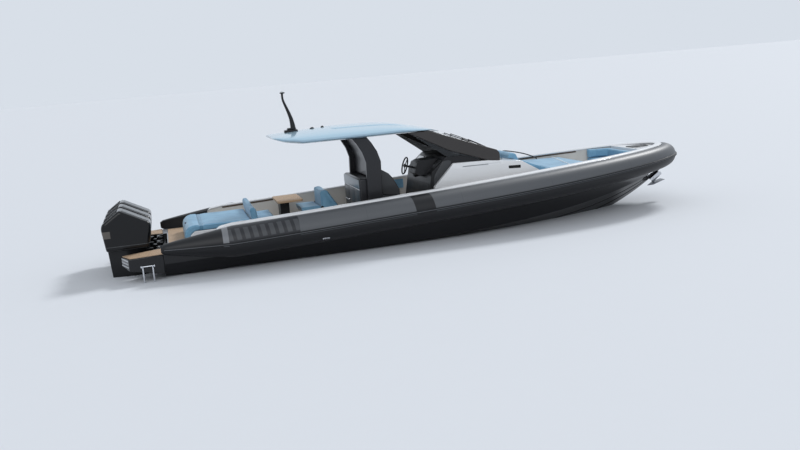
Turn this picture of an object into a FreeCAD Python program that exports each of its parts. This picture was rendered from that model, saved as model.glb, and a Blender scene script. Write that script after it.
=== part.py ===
import FreeCAD, Part
import math
import os

# A rib boat of about twelve metres: a deep-vee hull with an air tube all round it, a T-top
# over the helm and three outboard engines. X points to the bow, Y to port and Z up, in
# millimetres. The origin is on the waterline, on the centre plane, at the tubes' aft ends.

V = FreeCAD.Vector
os.makedirs("parts", exist_ok=True)

# Clearances
SEAT_GAP = 0.3
RUN_GAP = 6.0
BORE_GAP = 0.05

# Tube path in plan: straight along the sides, then a rounded nose
TUBE_HALF = 1630.0
STRAIGHT_END = 5500.0
NOSE_LENGTH = 5880.0
NOSE_POWER = 2.25
NOSE_STEPS = 14
TUBE_END_X = STRAIGHT_END + NOSE_LENGTH

# Tube height: the centre line rises towards the bow
TUBE_Z_AFT = 530.0
TUBE_RISE = 550.0
RISE_POWER = 1.3

# Tube radius: a cone aft, full amidships, slimmer at the bow
TUBE_R = 300.0
TUBE_R_BOW = 235.0
CONE_LENGTH = 1350.0
CONE_R = 85.0
CONE_LIFT = 45.0
FLAT_SHARE = 0.5
SIDE_XS = (350.0, 750.0, CONE_LENGTH, 2300.0, 3900.0)

# Rub rail on the tube's widest line
RAIL_HEIGHT = 56.0
RAIL_DEPTH = 26.0
RAIL_START = 60.0

# Liner: the inner wall and the gunwale over the tube's inner edge
LINER_WALL = 70.0
GUNWALE_LIFT = 330.0
GUNWALE_OUT = 55.0
GUNWALE_LIP = 30.0
GUNWALE_START = 1030.0
GUNWALE_SWEEP = 230.0
GUNWALE_DROP = 95.0

# Hull
TRANSOM_X = 30.0
HULL_TIP_X = TUBE_END_X + 40.0
HULL_TIP_Z = 820.0
STEM_HALF = 10.0
KEEL_Z = -550.0
KEEL_RISE_X = 6000.0
KEEL_POWER = 3.0
CHINE_HALF = 1400.0
CHINE_TAPER_X = 5000.0
CHINE_POWER = 0.8
CHINE_Z = 40.0
CHINE_RISE = 740.0
CHINE_FLAT = 70.0
FLANGE_DROP = 12.0
HULL_SKIN = 60.0

# Cockpit
SOLE_Z = 300.0
SOLE_THICK = 20.0
COCKPIT_END_X = 7900.0

# Engine spacing and the width of their clamps
ENGINE_PITCH = 700.0
CLAMP_IN = 110.0
CLAMP_OUT = 150.0

# Aft deck and engine well
WELL_X = 120.0
WELL_SIDE = 110.0
WELL_HALF = ENGINE_PITCH + CLAMP_OUT + WELL_SIDE
DECK_Z = 480.0
DECK_END_X = 1000.0
TEAK_THICK = 12.0
TEAK_BORDER = 25.0
BOARD_THICK = 75.0
BOARD_FOOT_Z = SOLE_Z
BOARD_TOP_Z = 390.0

# Side platforms
PLATFORM_OUT = TUBE_HALF - 40.0
PLATFORM_IN = WELL_HALF - 40.0
PLATFORM_SLANT = 0.343
PLATFORM_IN_AFT = PLATFORM_IN + PLATFORM_SLANT * (PLATFORM_OUT - PLATFORM_IN)
PLATFORM_END_OUT = -600.0
PLATFORM_END_IN = -745.0
PLATFORM_AFT_DROP = 20.0
PLATFORM_DEPTH = 190.0
PLATFORM_ROOT_Z = 100.0

# Boarding ladder on the starboard platform
LADDER_X0 = -360.0
LADDER_X1 = -180.0
LADDER_Z = 300.0
LADDER_FOOT_Z = -700.0
LADDER_BAR_R = 16.0
LADDER_PIN_R = 12.0
LADDER_PIN_Y = PLATFORM_OUT + 28.0
LADDER_OUT = 36.0
LUG_THICK = 10.0

# Sunpad and settee
CUSHION = 110.0
SUNPAD_X = 470.0
SUNPAD_SEAM_X = 800.0
SUNPAD_END_X = 1800.0
SUNPAD_HALF = 880.0
SUNPAD_Z = 835.0
SETTEE_END_X = 2330.0
SETTEE_Z = 740.0
SETTEE_TOP_Z = 1065.0
SETTEE_FOOT = 120.0

# Table, on the port side
TABLE_X = 2690.0
TABLE_LENGTH = 540.0
TABLE_Y = 450.0
TABLE_WIDTH = 1000.0
TABLE_Z = 1000.0
TABLE_THICK = 45.0
TABLE_CORNER = 60.0
PEDESTAL_LENGTH = 190.0
PEDESTAL_WIDTH = 420.0

# Lounge seat that faces aft, on the port side
LOUNGE_X0 = 2900.0
LOUNGE_X1 = 3720.0
LOUNGE_Y = 480.0
LOUNGE_WIDTH = 900.0
LOUNGE_Z = 790.0
LOUNGE_TOP_Z = 1130.0
LOUNGE_BACK_X = 3350.0

# Helm seats and their unit
UNIT_X0 = 4030.0
UNIT_X1 = 4900.0
UNIT_HALF = 800.0
UNIT_Z = 1360.0
UNIT_SEAT_X = 4400.0
UNIT_SEAT_Z = 990.0
UNIT_SEAT_DROP = 80.0
HELM_SEAT_Y = 400.0
HELM_SEAT_WIDTH = 540.0
HELM_SEAT_TOP_Z = 1520.0
HELM_SEAT_SHELL = 45.0

# Console and its binnacle
CONSOLE_X = 5420.0
CONSOLE_HALF = 900.0
CONSOLE_Z = 1625.0
HOOD_X = CONSOLE_X + 475.0
BINNACLE_WIDTH = 500.0
HELM_Y = -HELM_SEAT_Y
WHEEL_X = 5120.0
WHEEL_Z = 1490.0
WHEEL_R = 175.0
WHEEL_RIM_R = 15.0
WHEEL_RAKE = 18.0
COLUMN_R = 22.0
COLUMN_TO_FACE = 178.0
COLUMN_SUNK = 40.0

# Superstructure ahead of the console
ROOF_X = 5570.0
ROOF_HALF = 1000.0
ROOF_LEAN_Z = 1040.0
ROOF_AFT_X = ROOF_X + 445.0
ROOF_AFT_Z = 1485.0
ROOF_MID_X = ROOF_AFT_X + 745.0
ROOF_MID_Z = ROOF_AFT_Z - 20.0
ROOF_KNEE_X = ROOF_AFT_X + 1255.0
ROOF_KNEE_Z = ROOF_AFT_Z - 75.0
ROOF_FRONT_X = ROOF_AFT_X + 1495.0
ROOF_FRONT_Z = ROOF_AFT_Z - 102.0
ROOF_END_Z = ROOF_AFT_Z - 335.0
SHOULDER = 90.0
GRAB_X0 = ROOF_AFT_X + 185.0
GRAB_LENGTH = 830.0
GRAB_Z = ROOF_AFT_Z - 115.0
GRAB_HEIGHT = 34.0
GRAB_DEPTH = 22.0

# Windscreen
GLASS_THICK = 12.0
SCREEN_FOOT_X = 7030.0
SCREEN_FOOT_BOW = 350.0
SCREEN_FOOT_HALF = 840.0
SCREEN_MID_BOW = 210.0
PILLAR_Y = 860.0
PILLAR_WIDTH = 60.0
PILLAR_FOOT_LENGTH = 260.0
PILLAR_DEEP = 210.0
QUARTER_GLASS = 725.0

# Hardtop, its posts and the light mast
TOP_END_X = 5850.0
TOP_LENGTH = 3450.0
TOP_AFT_X = TOP_END_X - TOP_LENGTH
TOP_HALF = 1035.0
TOP_UNDER_Z = 2200.0
TOP_CROWN = 245.0
TOP_EDGE = 85.0
SCREEN_HEAD_X = TOP_END_X - 210.0
SCREEN_HEAD_HALF = 790.0
SCREEN_HEAD_Z = TOP_UNDER_Z - 15.0
POST_WIDTH = 90.0
POST_Y = UNIT_HALF + SEAT_GAP + POST_WIDTH / 2.0
POST_X = UNIT_X0 + 130.0
POST_LENGTH = 310.0
POST_PANEL = 40.0
MAST_X = TOP_AFT_X + 450.0
MAST_Z = TOP_UNDER_Z + TOP_CROWN + 10.0
MAST_KINK_Z = MAST_Z + 595.0
MAST_TOP_Z = MAST_Z + 805.0
MAST_PIN_R = 9.0

# Bow
PAD_THICK = 112.0
PAD_NOSE = 60.0
PAD_KNEE_X = COCKPIT_END_X + 230.0
BOW_PAD_AFT_HALF = 690.0
BOW_PAD_HALF = 770.0
HEADREST_HALF = 490.0
HEADREST_HIGH = 127.0
BOW_PAD_X = ROOF_FRONT_X + 130.0
BOW_BASE_Z = 1020.0
BOW_PAD_END_X = TUBE_END_X - 2080.0
FOREDECK_X = TUBE_END_X - 930.0
FOREDECK_END_X = TUBE_END_X - 290.0
BOW_SEAT_X = FOREDECK_X - 540.0
BOW_SEAT_Z = 1050.0
BOW_BACK_Z = 1250.0
BOW_FLOOR_LIFT = 12.0
FOREDECK_Z = 1290.0
LOCKER_X0 = FOREDECK_X + 90.0
LOCKER_X1 = FOREDECK_END_X - 120.0
LOCKER_HALF = 150.0
LOCKER_FLOOR_Z = 1060.0
LOCKER_LEDGE = 20.0
LID_THICK = 30.0
LID_PROUD = 12.0
LID_PIN_R = 7.0

# Stem fitting and anchor, measured along the stem and out from it
STEM_X0 = TUBE_END_X - 340.0
STEM_X1 = TUBE_END_X - FLAT_SHARE * TUBE_R_BOW - SEAT_GAP
CHEEK_Y = 45.0
CHEEK_THICK = 10.0
CHEEK_DEEP = 85.0
EYE_R = 11.0
ROLLER_R = 24.0
SHANK_HALF = 12.0
SHANK_DEEP = 28.0

# Engines
TILT_X = -50.0
TILT_Z = 450.0
TILT_PIN_R = 18.0
STEER_X = -200.0
STEER_PIN_R = 20.0
CLAMP_LOW_Z = 60.0
BARREL_R = 60.0
BARREL_Z0 = 130.0
BARREL_Z1 = 440.0
YOKE_R = 50.0
YOKE_THICK = 40.0
COWL_HALF = 280.0
COWL_BEVEL = 70.0
COWL_BOTTOM_Z = 535.0
COWL_FRONT_X = -135.0
COWL_FRONT_Z = 1020.0
COWL_CHIN_X = -150.0
COWL_CHIN_Z = 800.0
COWL_PEAK_X = -690.0
COWL_PEAK_Z = 1315.0
COWL_BACK_X = -1035.0
COWL_BACK_Z = 1075.0
COWL_AFT_X = -1060.0
COWL_AFT_Z = 980.0
COWL_FOOT_X = -215.0
COWL_HEEL_X = -1010.0
LEG_HALF = 95.0
LEG_AFT_X = -1000.0
PLATE_Z = -440.0
PLATE_THICK = 16.0
PROP_Z = -650.0
PROP_R = 188.0
HUB_R = 62.0
HUB_FRONT_X = -800.0
HUB_LENGTH = 170.0
SHAFT_R = 15.0
SHAFT_LENGTH = 90.0
CASE_LENGTH = 430.0
SKEG_Z = -930.0


def save(node, *solids):
    """Write one node's solids to its own file."""
    shape = solids[0] if len(solids) == 1 else Part.makeCompound(list(solids))
    shape.exportStep("parts/%s.step" % node)
    print(node, len(shape.Solids), shape.isValid(), round(shape.Volume / 1e9, 4))


def mirrored(shape):
    """The same shape on the other side of the centre plane."""
    return shape.mirror(V(0, 0, 0), V(0, 1, 0))


def box(x0, x1, y0, y1, z0, z1):
    """A block between two corners."""
    return Part.makeBox(x1 - x0, y1 - y0, z1 - z0, V(x0, y0, z0))


def closed_wire(points):
    """A closed wire of straight edges through the points."""
    return Part.makePolygon(points + [points[0]])


def profile_x(points, x0, x1):
    """An outline in Y and Z, carried forward from x0 to x1."""
    wire = closed_wire([V(x0, y, z) for y, z in points])
    return Part.Face(wire).extrude(V(x1 - x0, 0, 0))


def profile_y(points, y0, y1):
    """An outline in X and Z, carried across from y0 to y1."""
    wire = closed_wire([V(x, y0, z) for x, z in points])
    return Part.Face(wire).extrude(V(0, y1 - y0, 0))


def profile_z(points, z0, z1):
    """An outline in X and Y, carried up from z0 to z1."""
    wire = closed_wire([V(x, y, z0) for x, y in points])
    return Part.Face(wire).extrude(V(0, 0, z1 - z0))


def loft(wires, ruled=True):
    """A solid through closed wires."""
    return Part.makeLoft(wires, True, ruled)


def rod(a, b, radius):
    """A round bar between two points."""
    return Part.makeCylinder(radius, (b - a).Length, a, b - a)


def between(x, points):
    """The height on a line of straight pieces at x."""
    for (x0, z0), (x1, z1) in zip(points, points[1:]):
        if x <= x1 or (x1, z1) == points[-1]:
            return z0 + (z1 - z0) * (x - x0) / (x1 - x0)
    return points[-1][1]


def smooth(x, points):
    """The height at x on a smooth curve through the points."""
    for i in range(len(points) - 1):
        x0, z0 = points[i]
        x1, z1 = points[i + 1]
        if x <= x1 or i == len(points) - 2:
            before = points[max(i - 1, 0)]
            after = points[min(i + 2, len(points) - 1)]
            slope0 = (z1 - before[1]) / (x1 - before[0])
            slope1 = (after[1] - z0) / (after[0] - x0)
            t = (x - x0) / (x1 - x0)
            run = x1 - x0
            return ((2 * t ** 3 - 3 * t ** 2 + 1) * z0 + (t ** 3 - 2 * t ** 2 + t) * run * slope0
                    + (3 * t ** 2 - 2 * t ** 3) * z1 + (t ** 3 - t ** 2) * run * slope1)
    return points[-1][1]


def tube_z(x):
    """Height of the tube's centre line."""
    lift = CONE_LIFT * max(0.0, 1.0 - x / CONE_LENGTH)
    return TUBE_Z_AFT + TUBE_RISE * (max(x, 0.0) / TUBE_END_X) ** RISE_POWER + lift


def tube_r(x):
    """Radius of the tube."""
    if x < CONE_LENGTH:
        return CONE_R + (TUBE_R - CONE_R) * (max(x, 0.0) / CONE_LENGTH) ** 0.85
    if x > STRAIGHT_END:
        share = (x - STRAIGHT_END) / NOSE_LENGTH
        return TUBE_R - (TUBE_R - TUBE_R_BOW) * share ** 2
    return TUBE_R


def tube_rise(r):
    """Height of the tube's flat inner side above its centre line."""
    return r * math.sqrt(1.0 - FLAT_SHARE ** 2)


def nose_station(angle):
    """Point and outward direction of the tube path at an angle round the nose."""
    power = 2.0 / NOSE_POWER
    x = STRAIGHT_END + NOSE_LENGTH * math.sin(angle) ** power
    y = TUBE_HALF * math.cos(angle)
    if angle < 1e-6:
        return x, y, 0.0, 1.0
    run = NOSE_LENGTH * power * math.sin(angle) ** (power - 1.0) * math.cos(angle)
    fall = TUBE_HALF * math.sin(angle)
    size = math.hypot(run, fall)
    return x, y, fall / size, run / size


def stations(start):
    """Stations of the port side from start to the centre plane at the bow."""
    rows = [(start, TUBE_HALF, 0.0, 1.0)]
    rows += [(x, TUBE_HALF, 0.0, 1.0) for x in SIDE_XS if x > start]
    for step in range(NOSE_STEPS + 1):
        rows.append(nose_station(math.radians(90.0) * step / NOSE_STEPS))
    return rows


def at_station(row, out, up):
    """A point beside the tube path: out from it and up from its centre line."""
    x, y, nx, ny = row
    y_out = max(y + ny * out, 0.0) if ny > 0.001 else 0.0
    return V(x + nx * out, y_out, tube_z(x) + up)


def wall_half(x, inset):
    """Half breadth at x, this far inside the flat inner side of the tube."""
    points = []
    for row in stations(0.0):
        p = at_station(row, -FLAT_SHARE * tube_r(row[0]) - inset, 0.0)
        points.append((p.x, p.y))
    if x >= points[-1][0]:
        return 0.0
    return between(x, points)


def inner_half(x, inset):
    """Half breadth at x, this far inside the liner's wall."""
    return wall_half(x, SEAT_GAP + LINER_WALL + inset)


def tube_section(row):
    """The tube's section: a circle cut flat on its inner side."""
    r = tube_r(row[0])
    low = at_station(row, -FLAT_SHARE * r, -tube_rise(r))
    high = at_station(row, -FLAT_SHARE * r, tube_rise(r))
    arc = Part.Arc(low, at_station(row, r, 0.0), high).toShape()
    return Part.Wire([arc, Part.LineSegment(high, low).toShape()])


def tube():
    """The port tube, from its cone to the centre plane."""
    return loft([tube_section(row) for row in stations(0.0)])


def rub_rail():
    """The rail along the port tube's widest line."""
    wires = []
    half = RAIL_HEIGHT / 2.0
    for row in stations(RAIL_START):
        r = tube_r(row[0]) + SEAT_GAP
        depth = RAIL_DEPTH * min(1.0, 0.35 + row[0] / CONE_LENGTH)
        wires.append(closed_wire([
            at_station(row, r, -half), at_station(row, r + depth * 0.8, -half * 0.7),
            at_station(row, r + depth, 0.0),
            at_station(row, r + depth * 0.8, half * 0.7), at_station(row, r, half)]))
    return loft(wires)


def liner_section(row):
    """The liner's section: a wall inside the tube with the gunwale on its top."""
    r = tube_r(row[0])
    flat = -FLAT_SHARE * r - SEAT_GAP
    wall = flat - LINER_WALL
    lip = wall - GUNWALE_LIP
    foot = -tube_rise(r) - FLANGE_DROP + SEAT_GAP
    under = tube_rise(r) + 12.0
    top = GUNWALE_LIFT * r / TUBE_R
    return closed_wire([
        at_station(row, wall, foot), at_station(row, flat, foot),
        at_station(row, flat, under), at_station(row, flat + GUNWALE_OUT, under + 14.0),
        at_station(row, flat + GUNWALE_OUT, under + 34.0),
        at_station(row, flat + 20.0, top), at_station(row, lip, top),
        at_station(row, lip, top - 30.0), at_station(row, wall, top - 45.0)])


def liner():
    """The port liner, its aft end swept down to the tube."""
    body = loft([liner_section(row) for row in stations(GUNWALE_START)])
    top = tube_z(GUNWALE_START) + GUNWALE_LIFT
    x0, x1 = GUNWALE_START - 50.0, GUNWALE_START + GUNWALE_SWEEP
    low = V(x0, 0, top - GUNWALE_DROP - 40.0)
    mid = V(GUNWALE_START + GUNWALE_SWEEP * 0.35, 0, top - GUNWALE_DROP * 0.25)
    high = V(x1, 0, top + 4.0)
    corner = V(x1, 0, top + 300.0)
    roof = V(x0, 0, top + 300.0)
    curve = Part.Arc(low, mid, high).toShape()
    edges = [Part.LineSegment(a, b).toShape() for a, b in ((high, corner), (corner, roof), (roof, low))]
    cutter = Part.Face(Part.Wire([curve] + edges)).extrude(V(0, 2 * TUBE_HALF, 0))
    return body.cut(cutter)


def keel_z(x):
    """Height of the keel line, rising into the stem."""
    if x <= KEEL_RISE_X:
        return KEEL_Z
    share = (x - KEEL_RISE_X) / (HULL_TIP_X - KEEL_RISE_X)
    return KEEL_Z + (HULL_TIP_Z - 60.0 - KEEL_Z) * share ** KEEL_POWER


def chine_half(x):
    """Half breadth at the chine."""
    share = max(0.0, x - CHINE_TAPER_X) / (HULL_TIP_X - 70.0 - CHINE_TAPER_X)
    return CHINE_HALF * max(0.0, 1.0 - share ** 2) ** CHINE_POWER


def chine_z(x):
    """Height of the chine."""
    return CHINE_Z + CHINE_RISE * (x / HULL_TIP_X) ** 4


def hull_rows():
    """Stations of the hull: x, half breadth and height of its upper edge."""
    r = tube_r(CONE_LENGTH)
    foot_z = tube_z(CONE_LENGTH) - tube_rise(r) - FLANGE_DROP
    half = wall_half(CONE_LENGTH, SEAT_GAP)
    rows = [(TRANSOM_X, half, foot_z)]
    for row in stations(CONE_LENGTH):
        r = tube_r(row[0])
        p = at_station(row, -FLAT_SHARE * r - SEAT_GAP, -tube_rise(r) - FLANGE_DROP)
        if p.x > rows[-1][0] + 1.0:
            rows.append((p.x, p.y, p.z))
    foot = (STEM_X0, between(STEM_X0, [(a, b) for a, b, c in rows]),
            between(STEM_X0, [(a, c) for a, b, c in rows]))
    rows = [row for row in rows if not STEM_X0 < row[0] < STEM_X1 - 1.0] + [foot]
    rows.append((STEM_X1 + 40.0, 0.0, HULL_TIP_Z))
    rows.append((HULL_TIP_X, 0.0, HULL_TIP_Z))
    return sorted(rows)


def hull_section(x, side, z_top):
    """The hull's section: a vee to the chine, then flared sides."""
    keel = keel_z(x)
    z_chine = max(chine_z(x), keel + 12.0)
    z_chine = min(z_chine, z_top - 25.0)
    chine = max(min(chine_half(x), side), STEM_HALF * 0.8)
    inner = chine - min(CHINE_FLAT, chine * 0.5)
    half = [(0.0, keel), (inner, z_chine - 4.0), (chine, z_chine), (max(side, STEM_HALF), z_top)]
    other = [(-y, z) for y, z in reversed(half[1:])]
    return closed_wire([V(x, y, z) for y, z in half + other])


def hull_half(x, z):
    """Half breadth of the hull at a height above the chine."""
    points = []
    for a, side, z_top in hull_rows():
        chine = min(chine_half(a), side)
        share = min(max((z - chine_z(a)) / (z_top - chine_z(a)), 0.0), 1.0)
        points.append((a, chine + (side - chine) * share))
    return between(x, points)


def whole_hull():
    """The hull before the cockpit is sunk into it."""
    return loft([hull_section(*row) for row in hull_rows()])


def cockpit_outline(inset):
    """Outline of the cockpit, inside the liner and the hull's skin."""
    port = []
    xs = [DECK_END_X] + [a for a, b, c in hull_rows() if DECK_END_X < a < COCKPIT_END_X]
    for x in xs + [COCKPIT_END_X]:
        edge = x + (inset if x == DECK_END_X else -inset if x == COCKPIT_END_X else 0.0)
        skin = hull_half(x, SOLE_Z - SOLE_THICK) - HULL_SKIN
        port.append((edge, min(inner_half(max(x, CONE_LENGTH), SEAT_GAP), skin) - inset))
    return port + [(x, -y) for x, y in reversed(port)]


def hull_bottom(whole):
    """The planing hull up to the sole, and all of it ahead of the cockpit."""
    low = SOLE_Z - SOLE_THICK
    side = 2.0 * TUBE_HALF
    above = box(TRANSOM_X - 1.0, COCKPIT_END_X, -side, side, low, low + 2000.0)
    return whole.cut(above)


def hull_sides(whole):
    """The hull's sides above the sole, with the aft deck's floor."""
    low = SOLE_Z - SOLE_THICK + SEAT_GAP
    side = 2.0 * TUBE_HALF
    layer = box(TRANSOM_X - 1.0, COCKPIT_END_X - SEAT_GAP, -side, side, low, low + 2000.0)
    walls = whole.common(layer).cut(profile_z(cockpit_outline(0.0), low - 1.0, low + 2000.0))
    return walls.cut(box(TRANSOM_X - 1.0, DECK_END_X, -side, side, low - 1.0, low + 2000.0))


def cockpit_sole():
    """The teak sole of the cockpit."""
    return profile_z(cockpit_outline(1.0), SOLE_Z - SOLE_THICK + SEAT_GAP, SOLE_Z)


def aft_deck():
    """The raised deck ahead of the engine well, out to the tubes."""
    port = [(TRANSOM_X, wall_half(TRANSOM_X, SEAT_GAP))]
    for x in SIDE_XS:
        if x < DECK_END_X:
            port.append((x, wall_half(x, SEAT_GAP)))
    port.append((DECK_END_X, wall_half(DECK_END_X, SEAT_GAP)))
    outline = port + [(x, -y) for x, y in reversed(port)]
    foot = SOLE_Z - SOLE_THICK + SEAT_GAP
    body = profile_z(outline, foot, DECK_Z)
    well = box(TRANSOM_X - 1.0, WELL_X, -WELL_HALF, WELL_HALF, BOARD_FOOT_Z, DECK_Z + 1.0)
    return body.cut(well)


def transom_board():
    """The board across the well that carries the engines."""
    edge = WELL_HALF - SEAT_GAP
    return box(TRANSOM_X, TRANSOM_X + BOARD_THICK, -edge, edge, BOARD_FOOT_Z + SEAT_GAP, BOARD_TOP_Z)


def platform_outline(inset):
    """Outline of the port side platform in plan."""
    front = TRANSOM_X - SEAT_GAP
    return [(front, PLATFORM_IN + inset), (PLATFORM_END_IN + inset, PLATFORM_IN_AFT + inset),
            (PLATFORM_END_OUT + inset, PLATFORM_OUT - inset), (front, PLATFORM_OUT - inset)]


def platform_slope(x):
    """Height of the platform's upper side."""
    return DECK_Z + PLATFORM_AFT_DROP * (x - TRANSOM_X) / (TRANSOM_X - PLATFORM_END_IN)


def side_platform():
    """The port platform beside the engines, its underside rising aft."""
    aft = PLATFORM_END_IN - 10.0
    side = profile_y([(TRANSOM_X, PLATFORM_ROOT_Z), (TRANSOM_X, DECK_Z), (aft, platform_slope(aft)),
                      (aft, platform_slope(aft) - PLATFORM_DEPTH)], 0.0, 2.0 * TUBE_HALF)
    return profile_z(platform_outline(0.0), 0.0, DECK_Z + 1.0).common(side)


def platform_teak():
    """The teak on the port platform."""
    aft = PLATFORM_END_IN
    low = SEAT_GAP
    high = TEAK_THICK + SEAT_GAP
    layer = profile_y([(TRANSOM_X, DECK_Z + low), (aft, platform_slope(aft) + low),
                       (aft, platform_slope(aft) + high), (TRANSOM_X, DECK_Z + high)],
                      0.0, 2.0 * TUBE_HALF)
    slab = profile_z(platform_outline(TEAK_BORDER), DECK_Z - 100.0, DECK_Z + 100.0)
    return slab.common(layer)


def deck_teak():
    """The teak on the aft deck, behind the sunpad."""
    side = wall_half(CONE_LENGTH, TEAK_BORDER)
    low = DECK_Z + SEAT_GAP
    return box(WELL_X + TEAK_BORDER, SUNPAD_X - RUN_GAP, -side, side, low, low + TEAK_THICK)


def sunpad_base():
    """The moulded base under the sunpad and the settee."""
    aft = SUNPAD_X + CUSHION + SEAT_GAP
    deck = DECK_Z + SEAT_GAP
    sole = SOLE_Z + SEAT_GAP
    top = SUNPAD_Z - CUSHION - SEAT_GAP
    seat = SETTEE_Z - CUSHION - SEAT_GAP
    step = DECK_END_X + SEAT_GAP
    half = SUNPAD_HALF - 25.0
    return profile_y([(aft, deck), (step, deck), (step, sole), (SETTEE_END_X, sole),
                      (SETTEE_END_X, seat), (SUNPAD_END_X, seat), (SUNPAD_END_X, top),
                      (aft + 90.0, top), (aft, top - 70.0)], -half, half)


def sunpad_aft_cushion():
    """The pad that wraps the sunpad's aft end."""
    deck = DECK_Z + SEAT_GAP
    inner = SUNPAD_X + CUSHION
    low = SUNPAD_Z - CUSHION
    seam = SUNPAD_SEAM_X - SEAT_GAP
    return profile_y([(SUNPAD_X + 20.0, deck), (inner, deck), (inner, low - 70.0), (inner + 90.0, low),
                      (seam, low), (seam, SUNPAD_Z), (SUNPAD_X + 190.0, SUNPAD_Z + 5.0),
                      (SUNPAD_X + 90.0, SUNPAD_Z - 25.0), (SUNPAD_X + 22.0, SUNPAD_Z - 95.0),
                      (SUNPAD_X, SUNPAD_Z - 190.0)], -SUNPAD_HALF, SUNPAD_HALF)


def sunpad_cushion():
    """The sunpad's main pad."""
    return box(SUNPAD_SEAM_X + SEAT_GAP, SUNPAD_END_X, -SUNPAD_HALF, SUNPAD_HALF,
               SUNPAD_Z - CUSHION, SUNPAD_Z)


def settee_backrest():
    """The backrest ahead of the sunpad, leaning aft over its edge."""
    foot = SETTEE_Z - CUSHION
    x0 = SUNPAD_END_X + SEAT_GAP
    return profile_y([(x0, foot), (x0 + SETTEE_FOOT, foot), (x0 + SETTEE_FOOT, SETTEE_Z),
                      (x0 + 85.0, SETTEE_TOP_Z - 30.0), (x0 + 60.0, SETTEE_TOP_Z),
                      (x0 - 15.0, SETTEE_TOP_Z + 5.0), (x0 - 30.0, SETTEE_TOP_Z - 40.0),
                      (x0 - 10.0, SUNPAD_Z + 20.0), (x0, SUNPAD_Z)], -SUNPAD_HALF, SUNPAD_HALF)


def settee_cushion():
    """The settee's seat pad."""
    return box(SUNPAD_END_X + SETTEE_FOOT + 2.0 * SEAT_GAP, SETTEE_END_X, -SUNPAD_HALF, SUNPAD_HALF,
               SETTEE_Z - CUSHION, SETTEE_Z)


def table_top():
    """The teak table top."""
    slab = box(TABLE_X - TABLE_LENGTH / 2.0, TABLE_X + TABLE_LENGTH / 2.0,
               TABLE_Y - TABLE_WIDTH / 2.0, TABLE_Y + TABLE_WIDTH / 2.0, TABLE_Z - TABLE_THICK, TABLE_Z)
    corners = [e for e in slab.Edges if abs(e.Vertexes[0].Z - e.Vertexes[-1].Z) > 1.0]
    return slab.makeFillet(TABLE_CORNER, corners)


def table_pedestal():
    """The table's pedestal, with its foot plate."""
    top = TABLE_Z - TABLE_THICK - SEAT_GAP
    foot = SOLE_Z + SEAT_GAP
    length = PEDESTAL_LENGTH / 2.0
    width = PEDESTAL_WIDTH / 2.0
    x = TABLE_X - 90.0
    column = box(x - length, x + length, TABLE_Y - width, TABLE_Y + width, foot, top)
    plate = box(x - length - 50.0, x + length + 50.0, TABLE_Y - width - 50.0, TABLE_Y + width + 50.0,
                foot, foot + 18.0)
    head = box(x - length - 35.0, x + length + 35.0, TABLE_Y - width - 35.0, TABLE_Y + width + 35.0,
               top - 22.0, top)
    return column.fuse(plate).fuse(head)


def lounge(points):
    """An outline in X and Z carried across the lounge seat's width."""
    return profile_y(points, LOUNGE_Y - LOUNGE_WIDTH / 2.0, LOUNGE_Y + LOUNGE_WIDTH / 2.0)


def lounge_base():
    """The base of the seat that faces aft."""
    foot = SOLE_Z + SEAT_GAP
    top = LOUNGE_Z - CUSHION - SEAT_GAP
    return lounge([(LOUNGE_X0 + 160.0, foot), (LOUNGE_X1 - 10.0, foot), (LOUNGE_X1 - 10.0, top),
                   (LOUNGE_X0 + 50.0, top)])


def lounge_seat_cushion():
    """The pad of the seat that faces aft."""
    low = LOUNGE_Z - CUSHION
    return lounge([(LOUNGE_X0 + 30.0, low), (LOUNGE_BACK_X - SEAT_GAP, low),
                   (LOUNGE_BACK_X - SEAT_GAP, LOUNGE_Z), (LOUNGE_X0, LOUNGE_Z + 10.0)])


def lounge_backrest():
    """The wedge backrest of the seat that faces aft."""
    low = LOUNGE_Z - CUSHION
    return lounge([(LOUNGE_BACK_X, low), (LOUNGE_X1, low), (LOUNGE_X1, low + 60.0),
                   (LOUNGE_BACK_X + 130.0, LOUNGE_TOP_Z), (LOUNGE_BACK_X, LOUNGE_TOP_Z - 15.0)])


def unit_seat_z(x):
    """Height of the helm unit's sloping seat shelf."""
    return UNIT_SEAT_Z - UNIT_SEAT_DROP * (x - UNIT_SEAT_X) / (UNIT_X1 - UNIT_SEAT_X)


def helm_unit():
    """The cabinet that carries the helm seats."""
    foot = SOLE_Z + SEAT_GAP
    return profile_y([(UNIT_X0, foot), (UNIT_X1 - 80.0, foot), (UNIT_X1, unit_seat_z(UNIT_X1)),
                      (UNIT_SEAT_X, UNIT_SEAT_Z), (UNIT_SEAT_X - 20.0, UNIT_Z - 30.0),
                      (UNIT_X0 + 60.0, UNIT_Z), (UNIT_X0, UNIT_Z - 20.0)], -UNIT_HALF, UNIT_HALF)


def helm_seat(middle):
    """One helm seat's shell, with a wing on each side."""
    x0 = UNIT_SEAT_X + SEAT_GAP
    x1 = UNIT_X1
    top = HELM_SEAT_TOP_Z
    half = HELM_SEAT_WIDTH / 2.0
    shell = profile_y([(x0, unit_seat_z(x0) + SEAT_GAP), (x1, unit_seat_z(x1) + SEAT_GAP),
                       (x1, unit_seat_z(x1) + 140.0), (x1 - 60.0, top - 350.0),
                       (x1 - 120.0, top - 230.0), (x1 - 210.0, top - 120.0), (x1 - 320.0, top - 50.0),
                       (x1 - 410.0, top),
                       (x0 + 20.0, top)], middle - half, middle + half)
    inside = seat_inside(x0, 0.0)
    hollow = profile_y(inside + [(x1 + 200.0, top + 200.0), (inside[0][0], top + 200.0)],
                       middle - half + HELM_SEAT_SHELL, middle + half - HELM_SEAT_SHELL)
    return shell.cut(hollow)


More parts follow.
